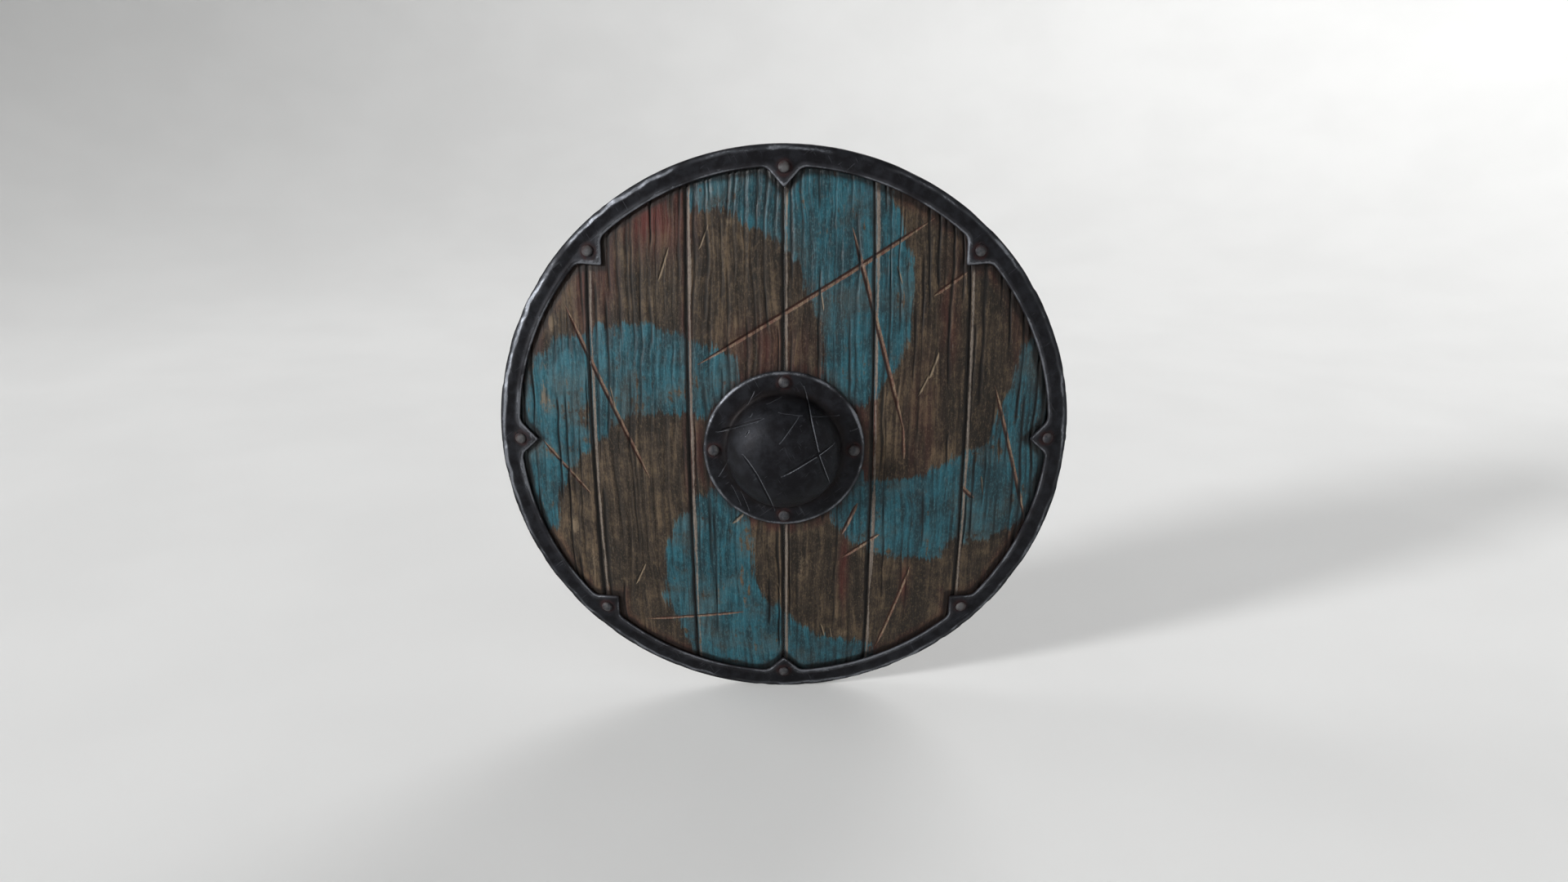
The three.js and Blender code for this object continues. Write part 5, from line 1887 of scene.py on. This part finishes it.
class SHIELD_OT_grip(bpy.types.Operator):
    """Wrap the grip in leather and stitch its seam"""

    bl_idname = "shield.grip"
    bl_label = "Leather Grip"

    def execute(self, context):
        sizes, colours = context.scene.shield_sizes, context.scene.shield_colours
        reach, grow = GRIP_HALF_LENGTH - 2.0, 2.45
        stations = np.linspace(-reach, reach, 68)
        half = np.full(stations.shape, GRIP_HALF_WIDTH + grow)
        corners = bar_section(half, GRIP_FRONT + grow, GRIP_BACK - grow, 7.0)
        piece = bar_piece(stations, 0.0, corners, ring=72, soft=0.06, capped=False, wobble=0.0)
        self.crease(piece, reach)
        modify(piece, "SOLIDIFY", thickness=1.5 * MM, offset=-1.0)
        mark(piece, rub=smooth(-np.abs(points_of(piece)[:, 0]), -38, -10))
        leather = grip_leather("grip_leather", colours)
        finish_piece(piece, "leather_grip", "grip_sleeve", leather, 50)
        self.stitch(sizes, colours, reach)
        return {"FINISHED"}

    def crease(self, piece, reach):
        """Creases the leather, sinks its seam between raised lips and swells its ends"""
        places = points_of(piece)
        across, forward, up = places.T
        middle = float(GRIP_DEPTH - depth_at(0.0, (GRIP_FRONT + GRIP_BACK) / 2))
        away = np.maximum(np.hypot(forward - middle, up), 1)
        angle = np.arctan2(up, forward - middle)
        pulled = (0.35 * waves(across / 7 + angle * 0.6, angle * 3.0, 231)
                  + 0.18 * waves(across / 3, angle * 5, 232))
        seam, lips = hump(angle, 0.10), hump(np.abs(angle) - 0.20, 0.09)
        ends = smooth(np.abs(across), reach - 3.5, reach - 1.0) * 0.25
        scale = 1 + (pulled * 0.6 - 0.55 * seam + 0.28 * lips + ends - 0.25) / away
        places[:, 1], places[:, 2] = middle + (forward - middle) * scale, up * scale
        place_points(piece, places * MM)

    def stitch(self, sizes, colours, reach):
        """Cross stitches over the seam, modelled once and copied"""
        deselect()
        bpy.ops.mesh.primitive_torus_add(major_segments=16, minor_segments=6,
                                         major_radius=2.5 * MM, minor_radius=0.5 * MM)
        first = bpy.context.object
        first.data.transform(Matrix.Diagonal((1.0, 0.42, 1.0, 1.0)))
        step = sizes.stitch_spacing / MM
        count = int((2 * reach - 8) / step)
        back = float(GRIP_DEPTH - depth_at(0.0, GRIP_BACK - 1.9)) - 0.15
        stitches = []
        for number in range(count + 1):
            along = -count * step / 2 + number * step
            lean = 0.5 if number % 2 else -0.5
            turn = Matrix.Rotation(math.pi / 2 + lean, 4, "Y")
            stitches.append(twin(first, Matrix.Translation((along * MM, back * MM, 0)) @ turn))
        drop(first)
        thread = waxed_thread("waxed_thread", colours)
        finish_piece(joined(stitches), "grip_stitches", None, thread, 60)


# Stage


# Each far soft lamp: its name, the direction it lies in, its spread in degrees and its strength
LAMPS = (
    ("key_lamp", (-2.6, -1.4, 0.95), 10.0, 3.55),
    ("fill_lamp", (1.6, -2.6, 1.2), 50.0, 0.18),
    ("edge_lamp", (-2.0, 0.6, 0.8), 25.0, 0.8),
    ("back_lamp", (1.3, 2.6, 1.3), 30.0, 1.6),
)

# The camera's place in metres, its tilt down from level, its lens and its sensor in millimetres
CAMERA_PLACE = (0.0, -1.1183, 0.3671)
CAMERA_TILT = math.radians(17.956)
CAMERA_LENS, CAMERA_SENSOR = 24.44, 36.0

# How far the floor lies under the shield, in metres, and how far it glows for what looks at it
FLOOR_GAP = 0.0002
FLOOR_GLOW = 0.22


class SHIELD_OT_stage(bpy.types.Operator):
    """Set the pale floor and backdrop, the soft lamps and the camera"""

    bl_idname = "shield.stage"
    bl_label = "Stage"

    def execute(self, context):
        self.backdrop(context.scene.shield_colours)
        for lamp in LAMPS:
            self.lamp(*lamp)
        world = bpy.data.worlds.new("studio")
        world.use_nodes = True
        light = world.node_tree.nodes["Background"]
        light.inputs["Color"].default_value = (0.93, 0.95, 1.0, 1.0)
        light.inputs["Strength"].default_value = 0.2
        context.scene.world = world
        context.scene.view_settings.view_transform = "Standard"
        camera = bpy.data.cameras.new("camera")
        camera.sensor_width, camera.lens = CAMERA_SENSOR, CAMERA_LENS
        camera.clip_start = 0.01
        holder = bpy.data.objects.new("camera", camera)
        context.collection.objects.link(holder)
        holder.location = CAMERA_PLACE
        holder.rotation_euler = (math.pi / 2 - CAMERA_TILT, 0.0, 0.0)
        context.scene.camera = holder
        return {"FINISHED"}

    def lamp(self, name, towards, spread, strength):
        light = bpy.data.lights.new(name, "SUN")
        light.angle, light.energy = math.radians(spread), strength
        holder = bpy.data.objects.new(name, light)
        bpy.context.collection.objects.link(holder)
        holder.location = towards
        holder.rotation_euler = (-Vector(towards)).to_track_quat("-Z", "Y").to_euler()

    def backdrop(self, colours):
        """A round floor that curves up into a wall on every side, open at the top"""
        reach, bend, wall = 2400.0, 2600.0, 4600.0
        profile = [(0, 0), (reach / 2, 0)]
        for turn in np.linspace(0, math.pi / 2, 14):
            profile.append((reach + bend * math.sin(turn), bend * (1 - math.cos(turn))))
        piece = turned(profile + [(reach + bend, wall)], 96)
        with editing(piece):
            bpy.ops.mesh.select_all(action="DESELECT")
        for face in piece.data.polygons:
            face.select = face.center.y > (wall - 1) * MM
        bpy.ops.object.mode_set(mode="EDIT")
        bpy.ops.mesh.delete(type="FACE")
        bpy.ops.mesh.select_all(action="SELECT")
        bpy.ops.mesh.flip_normals()
        bpy.ops.object.mode_set(mode="OBJECT")
        floor = CAD_BOX[0][2] - FLOOR_GAP
        piece.data.transform(Matrix.Translation((0, 0, floor)) @ Matrix.Rotation(math.pi / 2, 4, "X"))
        bpy.ops.object.shade_smooth()
        piece.name = "floor"
        piece.visible_shadow = False
        piece.data.materials.append(self.floor_material(tuple(colours.floor)))

    def floor_material(self, tint):
        """A pale floor that looks a little brighter than it is lit, without lighting the shield more"""
        material, shader, surface = new_material("pale_floor")
        speck = shader.noise(shader.place(), 3.0, 2, 0.5)
        darker = tuple(value * 0.96 for value in tint)
        shader.feed(surface["Base Color"], shader.mix(shader.fit(speck, 0.3, 0.7), darker, tint))
        surface["Roughness"].default_value = 0.9
        path = shader.node("ShaderNodeLightPath").outputs
        seen = shader.greatest(path["Is Camera Ray"], path["Is Glossy Ray"], path["Is Transmission Ray"])
        surface["Emission Color"].default_value = (*tint, 1.0)
        shader.feed(surface["Emission Strength"], shader.times(seen, FLOOR_GLOW))
        return material


STEPS = ("boards", "rim", "boss", "rivets", "handle", "battens", "grip", "nails", "stage")


class SHIELD_PT_panel(bpy.types.Panel):
    """Lists the steps, sizes and colours of the shield"""

    bl_idname = "SHIELD_PT_panel"
    bl_label = "Round Shield"
    bl_space_type = "VIEW_3D"
    bl_region_type = "UI"
    bl_category = "Shield"

    def draw(self, context):
        for step in STEPS:
            self.layout.operator(f"shield.{step}")
        for group in (context.scene.shield_sizes, context.scene.shield_colours):
            box = self.layout.box()
            for name in group.__annotations__:
                box.prop(group, name)


CLASSES = (
    ShieldSizes, ShieldColours, SHIELD_OT_boards, SHIELD_OT_rim, SHIELD_OT_boss, SHIELD_OT_rivets,
    SHIELD_OT_handle, SHIELD_OT_battens, SHIELD_OT_grip, SHIELD_OT_nails, SHIELD_OT_stage, SHIELD_PT_panel,
)


def register():
    for cls in CLASSES:
        bpy.utils.register_class(cls)
    bpy.types.Scene.shield_sizes = PointerProperty(type=ShieldSizes)
    bpy.types.Scene.shield_colours = PointerProperty(type=ShieldColours)


def unregister():
    del bpy.types.Scene.shield_colours
    del bpy.types.Scene.shield_sizes
    for cls in reversed(CLASSES):
        bpy.utils.unregister_class(cls)


def main():
    register()
    for step in STEPS:
        getattr(bpy.ops.shield, step)()
    deselect()


if __name__ == "__main__":
    main()
